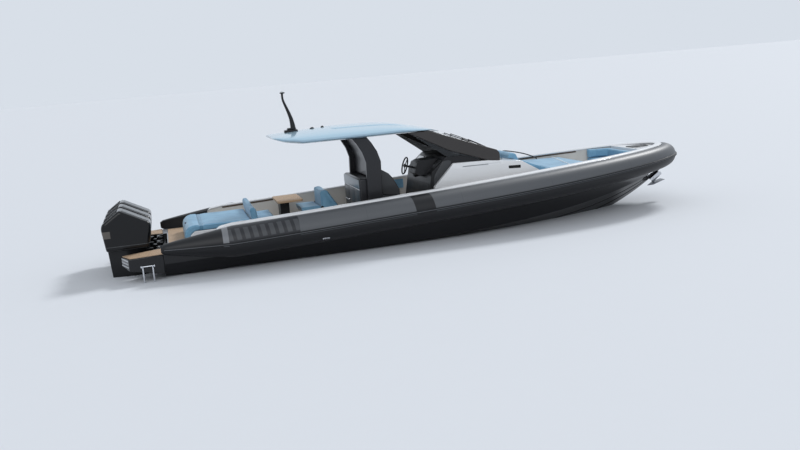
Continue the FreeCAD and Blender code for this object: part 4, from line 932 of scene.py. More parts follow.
def two_tone(piece: bpy.types.Object, most: Look, some: Look,
             choose: Callable[[np.ndarray, np.ndarray], np.ndarray]) -> bpy.types.Object:
    """Give a piece one finish, and another on chosen faces.

    Args:
        piece: the piece.
        most: the finish of the faces that aren't chosen.
        some: the finish of those that are.
        choose: says which are, from the faces' normals and centres.

    Returns:
        The same piece.
    """
    dress(piece, most)
    faces = piece.data.polygons
    piece.data.materials.append(some.material)
    chosen = choose(vectors(faces, "normal"), vectors(faces, "center"))
    faces.foreach_set("material_index", chosen.astype(np.int32))
    return piece


def draped(target: bpy.types.Object, path: Sequence[Point], aim: Union[Point, np.ndarray] = DOWN,
           lift: float = 0.0) -> np.ndarray:
    """A path laid on a piece: each point goes along its aim until it meets the piece.

    Args:
        target: the piece to lie on.
        path: points that start outside the piece.
        aim: one direction, or one for each point.
        lift: how far the path stays off the piece, or sinks into it if below 0.

    Returns:
        The points on the piece; a point that meets nothing is left out.
    """
    tree = BVHTree.FromObject(target, bpy.context.evaluated_depsgraph_get())
    aims = np.broadcast_to(np.array(aim, float), np.shape(path))
    aims = aims / np.linalg.norm(aims, axis=1, keepdims=True)
    met = []
    for point, way in zip(path, aims):
        spot = tree.ray_cast(Vector(point), Vector(way))[0]
        if spot is not None:
            met.append(np.array(spot) - way * lift)
    return np.array(met)


def plan_loop(low: Point, high: Point, inset: float, z: float) -> np.ndarray:
    """A rounded rectangle in plan at a height: even points along the outline.

    Args:
        low: the lowest corner of the box that it lies in.
        high: the highest corner.
        inset: how far inside the box it runs.
        z: its height.

    Returns:
        The loop's points.
    """
    x0, x1, y0, y1 = low[0] + inset, high[0] - inset, low[1] + inset, high[1] - inset
    loop = rounded_loop([(x0, y0), (x1, y0), (x1, y1), (x0, y1)], 0.05, 6)
    loop = np.concatenate([loop, loop[:1]])
    run = np.concatenate([[0.0], np.cumsum(np.linalg.norm(np.diff(loop, axis=0), axis=1))])
    even = np.linspace(0.0, run[-1], 96, endpoint=False)
    return grid(np.interp(even, run, loop[:, 0]), np.interp(even, run, loop[:, 1]), z)


def inset_rings(loop: np.ndarray, drawn: np.ndarray) -> np.ndarray:
    """Copies of an outline, each drawn in towards its middle by its own distance.

    Args:
        loop: the outline's points in x and z.
        drawn: the distances.

    Returns:
        The outlines, as distances by points by coordinates.
    """
    away = loop - loop.mean(0)
    unit = away / np.linalg.norm(away, axis=1, keepdims=True)
    return loop[None] - unit[None] * drawn[:, None, None]


def plate(name: str, outline: Sequence[Point], y0: float, y1: float, corner: float,
          edge: float) -> bpy.types.Object:
    """A flat plate: an outline in x and z carried across, its rims rounded over.

    Args:
        name: the piece's name.
        outline: the corners in x and z.
        y0: the y of one side.
        y1: the y of the other.
        corner: the corner radius of the outline.
        edge: how far the rims are drawn in.

    Returns:
        The object.
    """
    across, drawn = rounded_ends(y0, y1, edge)
    rings = inset_rings(rounded_loop(outline, corner), drawn)
    return surface(name, grid(rings[..., 0], across[:, None], rings[..., 1]), sharp=50.0)


def tilt(degrees: float, axis: str = "Y") -> Matrix:
    """A turn about one axis."""
    return Matrix.Rotation(math.radians(degrees), 4, axis)


@dataclass
class Stations:
    """Stations round the boat's collar: place, outward direction, centre height and radius."""

    x: np.ndarray
    y: np.ndarray
    nx: np.ndarray
    ny: np.ndarray
    z: np.ndarray
    r: np.ndarray

    def arrays(self) -> tuple[np.ndarray, ...]:
        """All the arrays in order."""
        return self.x, self.y, self.nx, self.ny, self.z, self.r

    def beside(self, out: Values, up: Values) -> np.ndarray:
        """Points out from the path and up from its centre line.

        Args:
            out: distances outwards, broadcast to stations by points.
            up: distances upwards, the same.

        Returns:
            The points, as stations by points by coordinates.
        """
        x, y, nx, ny, z, _ = (values[:, None] for values in self.arrays())
        return grid(x + nx * out, y + ny * out, z + up)

    def half(self, side: int) -> "Stations":
        """One side's stations from aft forward.

        Args:
            side: 1 for port, -1 for starboard.

        Returns:
            The stations.
        """
        keep = np.flatnonzero(self.y * side > -1e-9)
        keep = keep[np.argsort(self.x[keep])]
        return Stations(*(values[keep] for values in self.arrays()))

    def at(self, x: np.ndarray) -> "Stations":
        """Stations at other values of x, each worked out between its neighbours."""
        return Stations(x, *(np.interp(x, self.x, values) for values in self.arrays()[1:]))

    def face(self) -> np.ndarray:
        """How far out the tube's flat inner side lies, less the seat's gap, as a column."""
        return -FLAT_SHARE * self.r[:, None] - SEAT_GAP

    def rise(self) -> np.ndarray:
        """How far that flat reaches above and below the centre line, as a column."""
        return self.r[:, None] * math.sqrt(1.0 - FLAT_SHARE ** 2)


@dataclass(frozen=True)
class BoatLines:
    """The collar's path: straight sides, then a rounded nose with rising centre line."""

    half: float = 1.63
    straight: float = 5.5
    nose: float = 5.88
    power: float = 2.25
    z_aft: float = 0.53
    rise: float = 0.55
    rise_power: float = 1.3
    radius: float = 0.30
    bow_radius: float = 0.235
    cone: float = 1.35
    cone_power: float = 0.85
    cone_radius: float = 0.085
    cone_lift: float = 0.045
    gunwale: float = 0.33

    def centre(self, x: Values) -> Values:
        """Height of the tube's centre line: a power of the share of the length, lifted aft.

        Args:
            x: the places along the boat.

        Returns:
            The heights.
        """
        share = np.maximum(x, 0.0) / (self.straight + self.nose)
        lift = self.cone_lift * np.maximum(0.0, 1.0 - x / self.cone)
        return self.z_aft + self.rise * share ** self.rise_power + lift

    def size(self, x: np.ndarray) -> np.ndarray:
        """Radius of the tube: a cone aft, and a slow taper round the nose.

        Args:
            x: the places along the boat.

        Returns:
            The radii.
        """
        grown = np.clip(x / self.cone, 0.0, 1.0) ** self.cone_power
        cone = self.cone_radius + (self.radius - self.cone_radius) * grown
        share = np.clip((x - self.straight) / self.nose, 0.0, 1.0)
        taper = self.radius - (self.radius - self.bow_radius) * share ** 2
        return np.where(x < self.cone, cone, taper)

    def stations(self, start: float, straight_steps: int = 60, nose_steps: int = 60) -> Stations:
        """Stations from the starboard quarter round the bow to the port quarter.

        The nose is a superellipse, and the outward direction is its normal.

        Args:
            start: where the path starts, in x.
            straight_steps: stations on each straight side.
            nose_steps: stations from the straight's end to the stem.

        Returns:
            The stations.
        """
        run = np.linspace(start, self.straight, straight_steps, endpoint=False)
        turn = np.linspace(0.0, np.pi / 2.0, nose_steps)
        power = 2.0 / self.power
        sine = np.sin(turn)
        x = self.straight + self.nose * sine ** power
        y = self.half * np.cos(turn)
        along = self.nose * power * np.maximum(sine, 1e-9) ** (power - 1.0) * np.cos(turn)
        fall = self.half * sine
        size = np.hypot(along, fall)
        nx, ny = fall / size, along / size
        nx[0], ny[0] = 0.0, 1.0
        ones = np.ones_like(run)
        x, y = np.concatenate([run, x]), np.concatenate([ones * self.half, y])
        nx, ny = np.concatenate([ones * 0.0, nx]), np.concatenate([ones, ny])
        y[-1], ny[-1], nx[-1] = 0.0, 0.0, 1.0
        x, nx = (np.concatenate([v, v[-2::-1]]) for v in (x, nx))
        y, ny = (np.concatenate([-v, v[-2::-1]]) for v in (y, ny))
        return Stations(x, y, nx, ny, self.centre(x), self.size(x))


LINES = BoatLines()


@dataclass
class Collar:
    """The air tube, its rub rail and the liner with the gunwale."""

    blunt: float = 0.03
    rail_height: float = 0.056
    rail_depth: float = 0.026
    line_radius: float = 0.006
    wall: float = 0.07
    gunwale_start: float = 1.03
    sweep: float = 0.23
    sweep_drop: float = 0.115
    cleat_at: tuple[float, float] = (1.55, 1.455)
    outlet_at: Place = (3.07, 1.8499, 0.426)
    strips: tuple[tuple[float, float], ...] = ((1.36, 2.5), (7.98, 9.75))

    def tube(self) -> None:
        """The tube: rings of a circle cut flat on the inner side, closed by a blunt end."""
        st = LINES.stations(0.0, 90)
        angle = np.radians(np.linspace(-120.0, 120.0, 45))
        end = np.sqrt(np.clip(1.0 - (1.0 - st.x / self.blunt) ** 2, 0.5, 1.0))
        size = (st.r * np.where(st.x > self.blunt, 1.0, end))[:, None]
        points = st.beside(size * np.cos(angle), size * np.sin(angle))
        chart = np.stack(np.broadcast_arrays(st.x[:, None], angle / (2 * np.pi) + 0.5), -1)
        settle(surface("air_tube", points, chart=chart), Look.TUBE,
               nodes=["tube_port", "tube_starboard"])

    def rub_rail(self) -> None:
        """The rail: a ribbed rubber strip with a bead along its middle, paler than the rubber as a
        painted highlight.
        """
        st = LINES.stations(0.06)
        depth = (self.rail_depth * np.minimum(1.0, 0.35 + st.x / LINES.cone))[:, None]
        share = np.array([0.0, 0.75, 0.95, 0.95, 0.6, 0.6, 0.95, 0.95, 0.75, 0.0])
        height = np.array([-1.0, -0.85, -0.6, -0.3, -0.2, 0.2, 0.3, 0.6, 0.85, 1.0])
        base = st.r[:, None] + SEAT_GAP
        rail = st.beside(base + depth * share, height * self.rail_height / 2.0)
        settle(surface("rub_rail", rail), Look.RAIL,
               nodes=["rub_rail_port", "rub_rail_starboard"])
        # A bead in the rail's groove; its pale colour is a painted highlight.
        turn = np.linspace(0.0, 2.0 * np.pi, 8, endpoint=False)
        line = st.beside(base + depth * 0.72 + self.line_radius * np.cos(turn),
                         self.line_radius * np.sin(turn))
        settle(surface("rub_rail_line", line), Look.RAIL_LINE)

    def liner(self) -> None:
        """The liner: a cream wall inside the tube, its white gunwale swept down at the aft ends."""
        st = LINES.stations(self.gunwale_start, 120)
        flat, rise = st.face(), st.rise()
        inner = flat - self.wall
        lip = inner - 0.03
        under = rise + 0.012
        foot = -rise - 0.0117
        top = LINES.gunwale * st.r[:, None] / LINES.radius
        out = [inner, flat, flat, flat + 0.055, flat + 0.057, flat + 0.05, flat + 0.035,
               flat + 0.018, flat - 0.01, lip + 0.03, lip + 0.008, lip, lip, lip + 0.004, inner]
        up = [foot, foot, under, under + 0.014, under + 0.024, under + 0.034, top - 0.016,
              top - 0.006, top - 0.001, top, top - 0.003, top - 0.012, top - 0.026,
              top - 0.032, top - 0.045]
        points = st.beside(np.concatenate(out, 1), np.concatenate(up, 1))
        share = np.clip((st.x - self.gunwale_start) / self.sweep, 0.0, 1.0)
        limit = LINES.centre(self.gunwale_start) + LINES.gunwale
        limit = limit - self.sweep_drop * (1.0 - share) ** 2.2
        limit = np.where(share < 1.0, limit, np.inf)[:, None]
        points[:, :, 2] = np.minimum(points[:, :, 2], limit)
        piece = two_tone(surface("gunwale_liner", points, sharp=50.0), Look.WHITE, Look.CREAM,
                         self.is_wall)
        settle(piece, nodes=["liner_port", "liner_starboard"])

    @staticmethod
    def is_wall(normal: np.ndarray, middle: np.ndarray) -> np.ndarray:
        """Which of the liner's faces are its inner wall: inward ones under the gunwale.

        Args:
            normal: the faces' normals.
            middle: their centres.

        Returns:
            True for each face of the wall.
        """
        x, y, z = middle.T
        level = LINES.centre(x) + LINES.size(x) * LINES.gunwale / LINES.radius - 0.05
        return (normal[:, 1] * np.sign(y) < -0.3) & (z < level)

    def wall_strip(self, side: int, start: float, end: float) -> None:
        """A wooden strip along the inner wall, just under the gunwale's lip.

        Args:
            side: 1 for port, -1 for starboard.
            start: the x of its aft end.
            end: the x of its forward end.
        """
        st = LINES.stations(0.5, 90, 90).half(side).at(np.linspace(start, end, 60))
        middle = LINES.gunwale * st.r[:, None] / LINES.radius - 0.062
        out = st.face() - self.wall - 0.004 - 0.006 * np.array([-1.0, 0.6, 1.0, 1.0, 0.6, -1.0])
        up = middle + 0.015 * np.array([1.0, 1.0, 0.8, -0.8, -1.0, -1.0])
        strip = surface("wall_strip_%d_%d" % (side + 1, int(start * 10)), st.beside(out, up))
        settle(strip, Look.TRIM)

    def cleat(self, side: int) -> None:
        """A flush pop-up cleat in the gunwale: an oval plate with a sunk bar and two screws.

        Args:
            side: 1 for port, -1 for starboard.
        """
        x, y = self.cleat_at[0], side * self.cleat_at[1]
        z = LINES.centre(x) + LINES.gunwale
        path = [(x - 0.07, y, z + 0.002), (x - 0.05, y, z + 0.004), (x + 0.05, y, z + 0.004),
                (x + 0.07, y, z + 0.002)]
        parts = [slab("plate", (x, y, z - 0.001), (0.085, 0.026, 0.004), 0.02, Look.PROP),
                 bar("bar", path, (0.003, 0.007, 0.007, 0.003), Look.STEEL)]
        parts += [disc("screw", (x + spot, y + 0.014, z), (0.0, 0.004), 0.004, Look.STEEL)
                  for spot in (-0.066, 0.066)]
        settle(joined("cleat_%d" % (side + 1), parts))

    def outlet(self, side: int) -> None:
        """A small steel outlet low on the tube, with a dark mouth.

        Args:
            side: 1 for port, -1 for starboard.
        """
        x, y, z = self.outlet_at
        parts = [slab(name, (x, side * y, z), size, radius, look, tilt(-side * 43.0, "X"))
                 for name, size, radius, look in (
                     ("rim", (0.07, 0.006, 0.022), 0.02, Look.STEEL),
                     ("mouth", (0.05, 0.009, 0.01), 0.009, Look.BLACK))]
        settle(joined("tube_outlet_%d" % (side + 1), parts))

    def build(self) -> None:
        """Make the collar's pieces."""
        self.tube()
        self.rub_rail()
        self.liner()
        for side in (-1, 1):
            for start, end in self.strips:
                self.wall_strip(side, start, end)
            self.cleat(side)
            self.outlet(side)


@dataclass
class HullShell:
    """The deep-vee hull with its chines and spray rails."""

    tip: float = 11.42
    tip_z: float = 0.82
    keel: float = -0.55
    keel_x: float = 6.0
    keel_power: float = 3.0
    chine: float = 1.4
    chine_x: float = 5.0
    chine_power: float = 0.8
    transom: float = 0.03
    cockpit: tuple[float, float] = (1.0, 7.9)
    floor: float = 0.28
    skin: float = 0.06
    hollow: float = 0.12
    spray_rail: float = 0.012

    def keel_z(self, x: np.ndarray) -> np.ndarray:
        """Height of the keel: level aft, a rising power of the share forward."""
        share = np.clip((x - self.keel_x) / (self.tip - self.keel_x), 0.0, 1.0)
        return self.keel + (self.tip_z - 0.06 - self.keel) * share ** self.keel_power

    def top_edge(self) -> np.ndarray:
        """The port side's top edge under the tube, from the transom to the stem's tip.

        Returns:
            The edge's points, one row each.
        """
        st = LINES.stations(LINES.cone, 50, 70).half(1)
        edge = st.beside(st.face(), -st.rise() - 0.012)[:, 0]
        first = (self.transom, *edge[0, 1:])
        last = [(edge[-1, 0] + 0.04, 0.0, self.tip_z), (self.tip, 0.0, self.tip_z)]
        return np.concatenate([[first], edge, last])

    def build(self) -> None:
        """Make the shell: keel, two spray rails, chine and flared side at each station.

        Each station's rows go from the keel out to the chine and up to the top edge, then down
        inside to the floor. The floor's edge stays inside the skin at the floor's height.
        """
        x, side, top = self.top_edge().T
        side = np.maximum(side, 0.01)
        keel = self.keel_z(x)
        share = np.clip((x - self.chine_x) / (self.tip - 0.07 - self.chine_x), 0.0, 1.0)
        breadth = self.chine * (1.0 - share ** 2) ** self.chine_power
        level = np.maximum(0.04 + 0.74 * (x / self.tip) ** 4, keel + 0.012)
        level = np.minimum(level, top - 0.025)
        chine = np.maximum(np.minimum(breadth, side), 0.008)
        inner = chine - np.minimum(0.07, chine * 0.5)

        spread = np.array([0.0, 0.3, 0.3, 0.335, 0.34, 0.62, 0.62, 0.655, 0.66, 1.0])
        proud = self.spray_rail * np.array([0, 0, 1, 1, 0, 0, 1, 1, 0, 0])
        zs = keel[:, None] + (level - 0.004 - keel)[:, None] * spread
        zs = zs - proud * np.clip((chine / 0.5)[:, None], 0.0, 1.0)
        bottom = grid(x[:, None], inner[:, None] * spread, zs)

        rise = np.linspace(0.0, 1.0, 7)[1:]
        bow = np.clip((x[:, None] - 5.0) / 4.0, 0.0, 1.0)
        flare = rise - self.hollow * np.sin(np.pi * rise) * bow
        wall = grid(x[:, None], chine[:, None] + (side - chine)[:, None] * flare,
                    level[:, None] + (top - level)[:, None] * rise)

        inside = (x > self.cockpit[0] - 0.01) & (x < self.cockpit[1])
        wide = np.maximum(side - self.skin, 0.0) * np.where(inside, 1.0, 0.9)
        wide = np.where(inside, np.minimum(wide, self.chine), wide)
        base = np.where(inside, np.minimum(self.floor, top), top - 0.0005)
        up = (self.floor - level) / np.maximum(top - level, 0.05)
        drawn = up - self.hollow * np.sin(np.pi * np.clip(up, 0.0, 1.0))
        above = chine + (side - chine) * np.clip(drawn, 0.0, 1.0)
        below = inner * (self.floor - keel) / np.maximum(level - keel, 0.05)
        foot = np.minimum(wide, np.where(up > 0.0, above, below) - 0.03)
        foot = np.maximum(np.where(inside, foot, wide), 0.0)

        port = np.concatenate([bottom, grid(x, chine, level)[:, None], wall,
                               grid(x, wide, top - 0.0002)[:, None],
                               grid(x, foot, base)[:, None], grid(x, 0.0, base)[:, None]], 1)
        starboard = port[:, -2:0:-1] * MIRROR
        shell = surface("hull_shell", np.concatenate([port, starboard], 1), sharp=24.0)
        settle(shell, Look.HULL, nodes=["hull_bottom", "hull_sides"])


@dataclass
class Pads:
    """The upholstery: pads swollen by a cloth simulation, with piped seams."""

    pressure: float = 4.0
    stiffness: float = 18.0
    frames: int = 18
    pads: tuple[tuple[str, float, float, Look], ...] = (
        ("sunpad_aft_cushion", 0.020, 0.014, Look.CUSHION),
        ("sunpad_cushion", 0.022, 0.018, Look.LONG_CHANNELS),
        ("settee_backrest", 0.016, 0.014, Look.BACK_CHANNELS),
        ("settee_cushion", 0.018, 0.018, Look.LONG_CHANNELS),
        ("lounge_seat_cushion", 0.016, 0.016, Look.BACK_CHANNELS),
        ("lounge_backrest", 0.016, 0.018, Look.BACK_CHANNELS),
        ("helm_seat_cushions", 0.012, 0.010, Look.CUSHION),
        ("bow_sunpad", 0.024, 0.016, Look.CROSS_CHANNELS),
        ("bow_headrest", 0.014, 0.012, Look.CUSHION), ("bow_seat", 0.020, 0.016, Look.CUSHION),
        ("bow_backrest", 0.014, 0.010, Look.CROSS_CHANNELS))
    # How far over a pad a path starts before it is laid on
    over: float = 0.3
    pull_x: float = 0.525
    piping_and_highlight_half: float = 1.15

    def swell(self, piece: bpy.types.Object, cap: float, low: Point, high: Point) -> None:
        """Blow a pad up with the cloth simulation and hold it in its space.

        Args:
            piece: the pad.
            cap: how far a point may move, in metres.
            low: the lowest corner that it may reach.
            high: the highest corner that it may reach.
        """
        scene = bpy.context.scene
        spots = vectors(piece.data.vertices, "co")
        cloth = piece.modifiers.new("filling", "CLOTH")
        cloth.settings.use_pressure = True
        cloth.settings.uniform_pressure_force = self.pressure
        cloth.settings.effector_weights.gravity = 0.0
        cloth.settings.quality = 4
        cloth.settings.mass = 0.3
        cloth.settings.tension_stiffness = self.stiffness
        cloth.settings.compression_stiffness = self.stiffness
        cloth.collision_settings.use_collision = False
        cloth.point_cache.frame_start = 1
        cloth.point_cache.frame_end = self.frames
        for number in range(1, self.frames + 1):
            scene.frame_set(number)
        blown = piece.evaluated_get(bpy.context.evaluated_depsgraph_get()).data
        shift = vectors(blown.vertices, "co") - spots
        piece.modifiers.clear()
        scene.frame_set(1)
        size = np.linalg.norm(shift, axis=1, keepdims=True)
        spots = spots + shift * np.minimum(1.0, cap / np.maximum(size, 1e-9))
        spots = np.clip(spots, low, high).astype(np.float32)
        piece.data.vertices.foreach_set("co", spots.ravel())
        piece.data.update()

    def pad(self, node: str, voxel: float, cap: float, look: Look) -> bpy.types.Object:
        """One pad: the node's form drawn in, remeshed, softened, swollen and subdivided.

        Args:
            node: the CAD node that it stands for.
            voxel: the remesh size in metres.
            cap: how far the simulation may move a point.
            look: its upholstery.

        Returns:
            The pad.
        """
        piece = node_copy(node + "_pad", node)
        remesh = piece.modifiers.new("even", "REMESH")
        remesh.mode = "VOXEL"
        remesh.voxel_size = voxel
        graph = bpy.context.evaluated_depsgraph_get()
        even = bpy.data.meshes.new_from_object(piece.evaluated_get(graph))
        piece.modifiers.clear()
        piece.data = even
        work = bmesh.new()
        work.from_mesh(even)
        for _ in range(4):
            bmesh.ops.smooth_vert(work, verts=work.verts, factor=0.5, use_axis_x=True,
                                  use_axis_y=True, use_axis_z=True)
        bmesh.ops.recalc_face_normals(work, faces=work.faces)
        work.normal_update()
        work.to_mesh(even)
        work.free()
        drawn = vectors(even.vertices, "co") - vectors(even.vertices, "normal") * cap * 0.45
        even.vertices.foreach_set("co", drawn.ravel())
        self.swell(piece, cap, *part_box(node))
        even.polygons.foreach_set("use_smooth", np.ones(len(even.polygons), bool))
        fine = piece.modifiers.new("fine", "SUBSURF")
        fine.levels = fine.render_levels = 1
        settle(piece, look, nodes=[node])
        return piece

    def piping(self, name: str, pad: bpy.types.Object, path: np.ndarray,
               look: Look = Look.PIPING, radius: float = 0.0045, closed: bool = False) -> None:
        """A cord laid on a pad from above, along a path: sewn piping, and on the bow pad a pale
        band of painted highlight.

        Args:
            name: the piece's name.
            pad: the pad.
            path: the path, over the pad.
            look: its finish.
            radius: its radius.
            closed: whether it joins up.
        """
        line = draped(pad, path, lift=radius * 0.2)
        settle(swept_tube(name, line, radius, 8, closed), look)

    def pull(self, pad: bpy.types.Object) -> None:
        """A small oval pull on the sunpad's aft slope, half sunk into it.

        Args:
            pad: the sunpad's aft pad.
        """
        line = draped(pad, grid(self.pull_x, np.linspace(-0.06, 0.06, 9), 1.2))
        size = 0.024 * np.sqrt(np.clip(1.02 - np.linspace(-1.0, 1.0, 9) ** 2, 0.0, 1.0))
        settle(swept_tube("pad_pull", line, size, 14), Look.NAVY)

    def build(self) -> None:
        """Make every pad, then its piping and the painted highlight band across the bow pad."""
        made = {node: self.pad(node, voxel, cap, look) for node, voxel, cap, look in self.pads}
        for node, name, inset in (("sunpad_cushion", "sunpad_cushion_piping", 0.03),
                                  ("settee_cushion", "settee_cushion_piping", 0.03),
                                  ("lounge_seat_cushion", "lounge_seat_cushion_piping", 0.03),
                                  ("sunpad_aft_cushion", "sunpad_aft_piping", 0.035)):
            low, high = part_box(node)
            loop = plan_loop(low, high, inset, high[2] + self.over)
            self.piping(name, made[node], loop, closed=True)
        self.pull(made["sunpad_aft_cushion"])
        settle(block("sunpad_hinge", (0.765, -0.862, 0.73), (0.84, 0.862, 0.822), 0.02),
               Look.PIPING)
        for node, aft in (("settee_backrest", 0.0), ("lounge_backrest", 0.16)):
            low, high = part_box(node)
            y = np.linspace(low[1] + 0.02, high[1] - 0.02, 50)
            path = grid(0.5 * (low[0] + high[0]) - aft, y, high[2] + self.over)
            self.piping(node + "_piping", made[node], path)
        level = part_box("bow_sunpad")[1][2] + self.over
        y = np.linspace(-self.piping_and_highlight_half, self.piping_and_highlight_half, 90)
        share = (y + self.piping_and_highlight_half) / (2.0 * self.piping_and_highlight_half)
        # The first band is blue piping; the second, pale and wide, is a painted highlight of the
        # pad's sheen.
        for number, (start, end, look, size) in enumerate((
                (8.16, 8.16, Look.PIPING, 0.005), (8.62, 9.12, Look.TAPE, 0.014))):
            path = grid(start + (end - start) * share, y, level)
            self.piping("bow_pad_piping_and_painted_highlight_%d" % number, made["bow_sunpad"], path, look, size)


@dataclass
class Hardtop:
    """The moulded top, its dark lining, posts and light mast."""

    aft: float = 2.4
    front: float = 5.85
    edge: float = 0.085
    under: float = 2.2
    # Over x: the half breadth, the under side's height and the crown's height
    half: tuple[Point, Point] = (
        (2.4, 2.48, 2.6, 2.75, 3.0, 3.3, 3.6, 4.1, 4.6, 5.0, 5.3, 5.5, 5.7, 5.85),
        (0.6, 0.76, 0.85, 0.92, 0.99, 1.018, 1.03, 1.037, 1.035, 1.02, 0.985, 0.93, 0.82, 0.64))
    low: tuple[Point, Point] = ((2.4, 2.5, 2.62, 2.95, 5.65, 5.85),
                                (2.325, 2.29, 2.25, 2.2, 2.2, 2.15))
    crown: tuple[Point, Point] = (
        (2.4, 2.47, 2.55, 2.7, 3.0, 3.3, 3.6, 4.1, 4.6, 4.9, 5.2, 5.45, 5.62, 5.85),
        (2.375, 2.393, 2.398, 2.406, 2.421, 2.435, 2.445, 2.441, 2.425, 2.395, 2.345, 2.292,
         2.25, 2.172))
    ridge_start: float = 3.62
    ridge_end: float = 5.24
    ridge_height: float = 0.011

    def section(self, x: np.ndarray) -> np.ndarray:
        """Sections across the top: flat under, a rounded edge and a crowned upper side.

        Args:
            x: where the sections lie.

        Returns:
            The points, as sections by points by coordinates.
        """
        half, low, top = (np.interp(x, *line) for line in (self.half, self.low, self.crown))
        edge = np.minimum(self.edge, (top - low) * 0.45)
        side_y = np.stack([half - 0.16, half - 0.03, half - 0.006], -1)
        side_z = np.stack([low, low + edge * 0.42, low + edge * 0.6], -1)
        turn = np.linspace(0.0, np.pi / 2.0, 12)
        upper = half[:, None] * (1.0 - (1.0 - np.cos(turn)) ** 0.75)
        crown = (low + edge)[:, None] + (top - low - edge)[:, None] * np.sin(turn) ** 0.8
        port = grid(x[:, None], np.concatenate([side_y, upper], 1),
                    np.concatenate([side_z, crown], 1))
        return np.concatenate([port, port[:, -2::-1] * MIRROR], 1)

    def build(self) -> None:
        """Make the top's pieces."""
        x = np.concatenate([np.linspace(self.aft, 3.0, 12, endpoint=False),
                            np.linspace(3.0, 5.2, 24, endpoint=False),
                            np.linspace(5.2, self.front, 14)])
        shell = two_tone(surface("hardtop_shell", self.section(x), sharp=50.0), Look.TOP,
                         Look.UNDER, lambda normal, middle: normal[:, 2] < -0.985)
        settle(shell, nodes=["hardtop"])
        self.ridge()
        self.fittings(shell)
        rounded_node("hardtop_posts", 0.022, Look.CHARCOAL, segments=3)
        self.mast()

    def mast(self) -> None:
        """The light mast: a foot, a tapering arm with a double bend, its plate and lamp."""
        arm = smooth_path([(2.912, 0.0, 2.475), (2.908, 0.0, 2.56), (2.885, 0.0, 2.7),
                           (2.835, 0.0, 2.86), (2.775, 0.0, 3.03), (2.757, 0.0, 3.12),
                           (2.76, 0.0, 3.225)])
        size = np.interp(np.linspace(0.0, 1.0, len(arm)), [0.0, 0.15, 0.35, 0.6, 0.8, 1.0],
                         [0.056, 0.05, 0.038, 0.026, 0.022, 0.022])
        barrel = grid(2.79, np.array([-0.06, -0.055, 0.055, 0.06]), 2.4643)
        parts = [swept_tube("arm", arm, size, 20),
                 block("foot", (2.792, -0.058, 2.4565), (2.969, 0.058, 2.492), 0.012),
                 swept_tube("barrel", barrel, (0.004, 0.0082, 0.0082, 0.004), 16),
                 block("plate", (2.715, -0.05, 3.205), (2.81, 0.05, 3.232), 0.012)]
        form = joined("light_mast_form", [dress(part, Look.BLACK) for part in parts])
        settle(form, body="light_mast", nodes=["light_mast"])
        settle(block("mast_pad", (2.725, -0.07, 2.395), (3.0, 0.07, 2.4535), 0.014),
               Look.BLACK)
        lamp = disc("mast_lamp", (2.76, 0.0, 3.23), (0.0, 0.013, 0.021, 0.027),
                    (0.028, 0.028, 0.024, 0.01), Look.LAMP, 20)
        settle(lamp, body="light_mast")

    def ridge(self) -> None:
        """The raised panel along the top's middle: its section follows the crown."""
        x = np.linspace(self.ridge_start, self.ridge_end, 40)
        ramp = np.minimum((x - self.ridge_start) / 0.06, (self.ridge_end - x) / 0.3)
        rise = self.ridge_height * np.clip(ramp, 0.0, 1.0) ** 0.7
        half = np.interp(x, [self.ridge_start, 3.7, 5.1, self.ridge_end], [0.46, 0.53, 0.56, 0.5])
        share = np.array([-1.0, -0.985, -0.96, -0.8, -0.5, -0.2, 0.0, 0.2, 0.5, 0.8, 0.96, 0.985,
                          1.0])
        lift = np.interp(np.abs(share), [0.96, 0.985, 1.0], [1.0, 0.4, -0.3])
        rows = []
        for ring, width, up in zip(self.section(x)[:, 3:-3], half, rise):
            order = np.argsort(ring[:, 1])
            z = np.interp(share * width, ring[order, 1], ring[order, 2])
            over = np.column_stack([share * width, z + lift * up])
            rows.append(np.concatenate([over, [(width, z.min() - 0.02), (-width, z.min() - 0.02)]]))
        y, z = np.moveaxis(np.array(rows), -1, 0)
        settle(surface("hardtop_ridge", grid(x[:, None], y, z), sharp=50.0),
               Look.TOP)

    def fittings(self, shell: bpy.types.Object) -> None:
        """Small aerial domes on the top, and lamps under it.

        Args:
            shell: the top, which the domes stand on.
        """
        domes = []
        for x, size in ((3.3, 0.05), (3.52, 0.035)):
            z = draped(shell, [(x, 0.0, 3.0)])[0][2]
            path = [(x, 0.0, z - 0.004), (x, 0.0, z + 0.01), (x - 0.003, 0.0, z + 0.022),
                    (x - 0.006, 0.0, z + 0.03)]
            domes.append(bar("dome", path, size * np.array([1.0, 0.96, 0.7, 0.2]), Look.BLACK, 20))
        settle(joined("aerial_domes", domes))
        lamps = []
        for x in (2.95, 3.75, 4.75):
            for y in (-0.55, 0.55):
                spot = (x, y, self.under)
                lamps.append(disc("rim", spot, (0.006, -0.003, -0.007, -0.008),
                                  (0.042, 0.042, 0.036, 0.02), Look.STEEL, 24))
                lamps.append(disc("lens", spot, (0.0, -0.0095, -0.0105), (0.03, 0.03, 0.02),
                                  Look.LAMP, 20))
        settle(joined("roof_lamps", lamps))


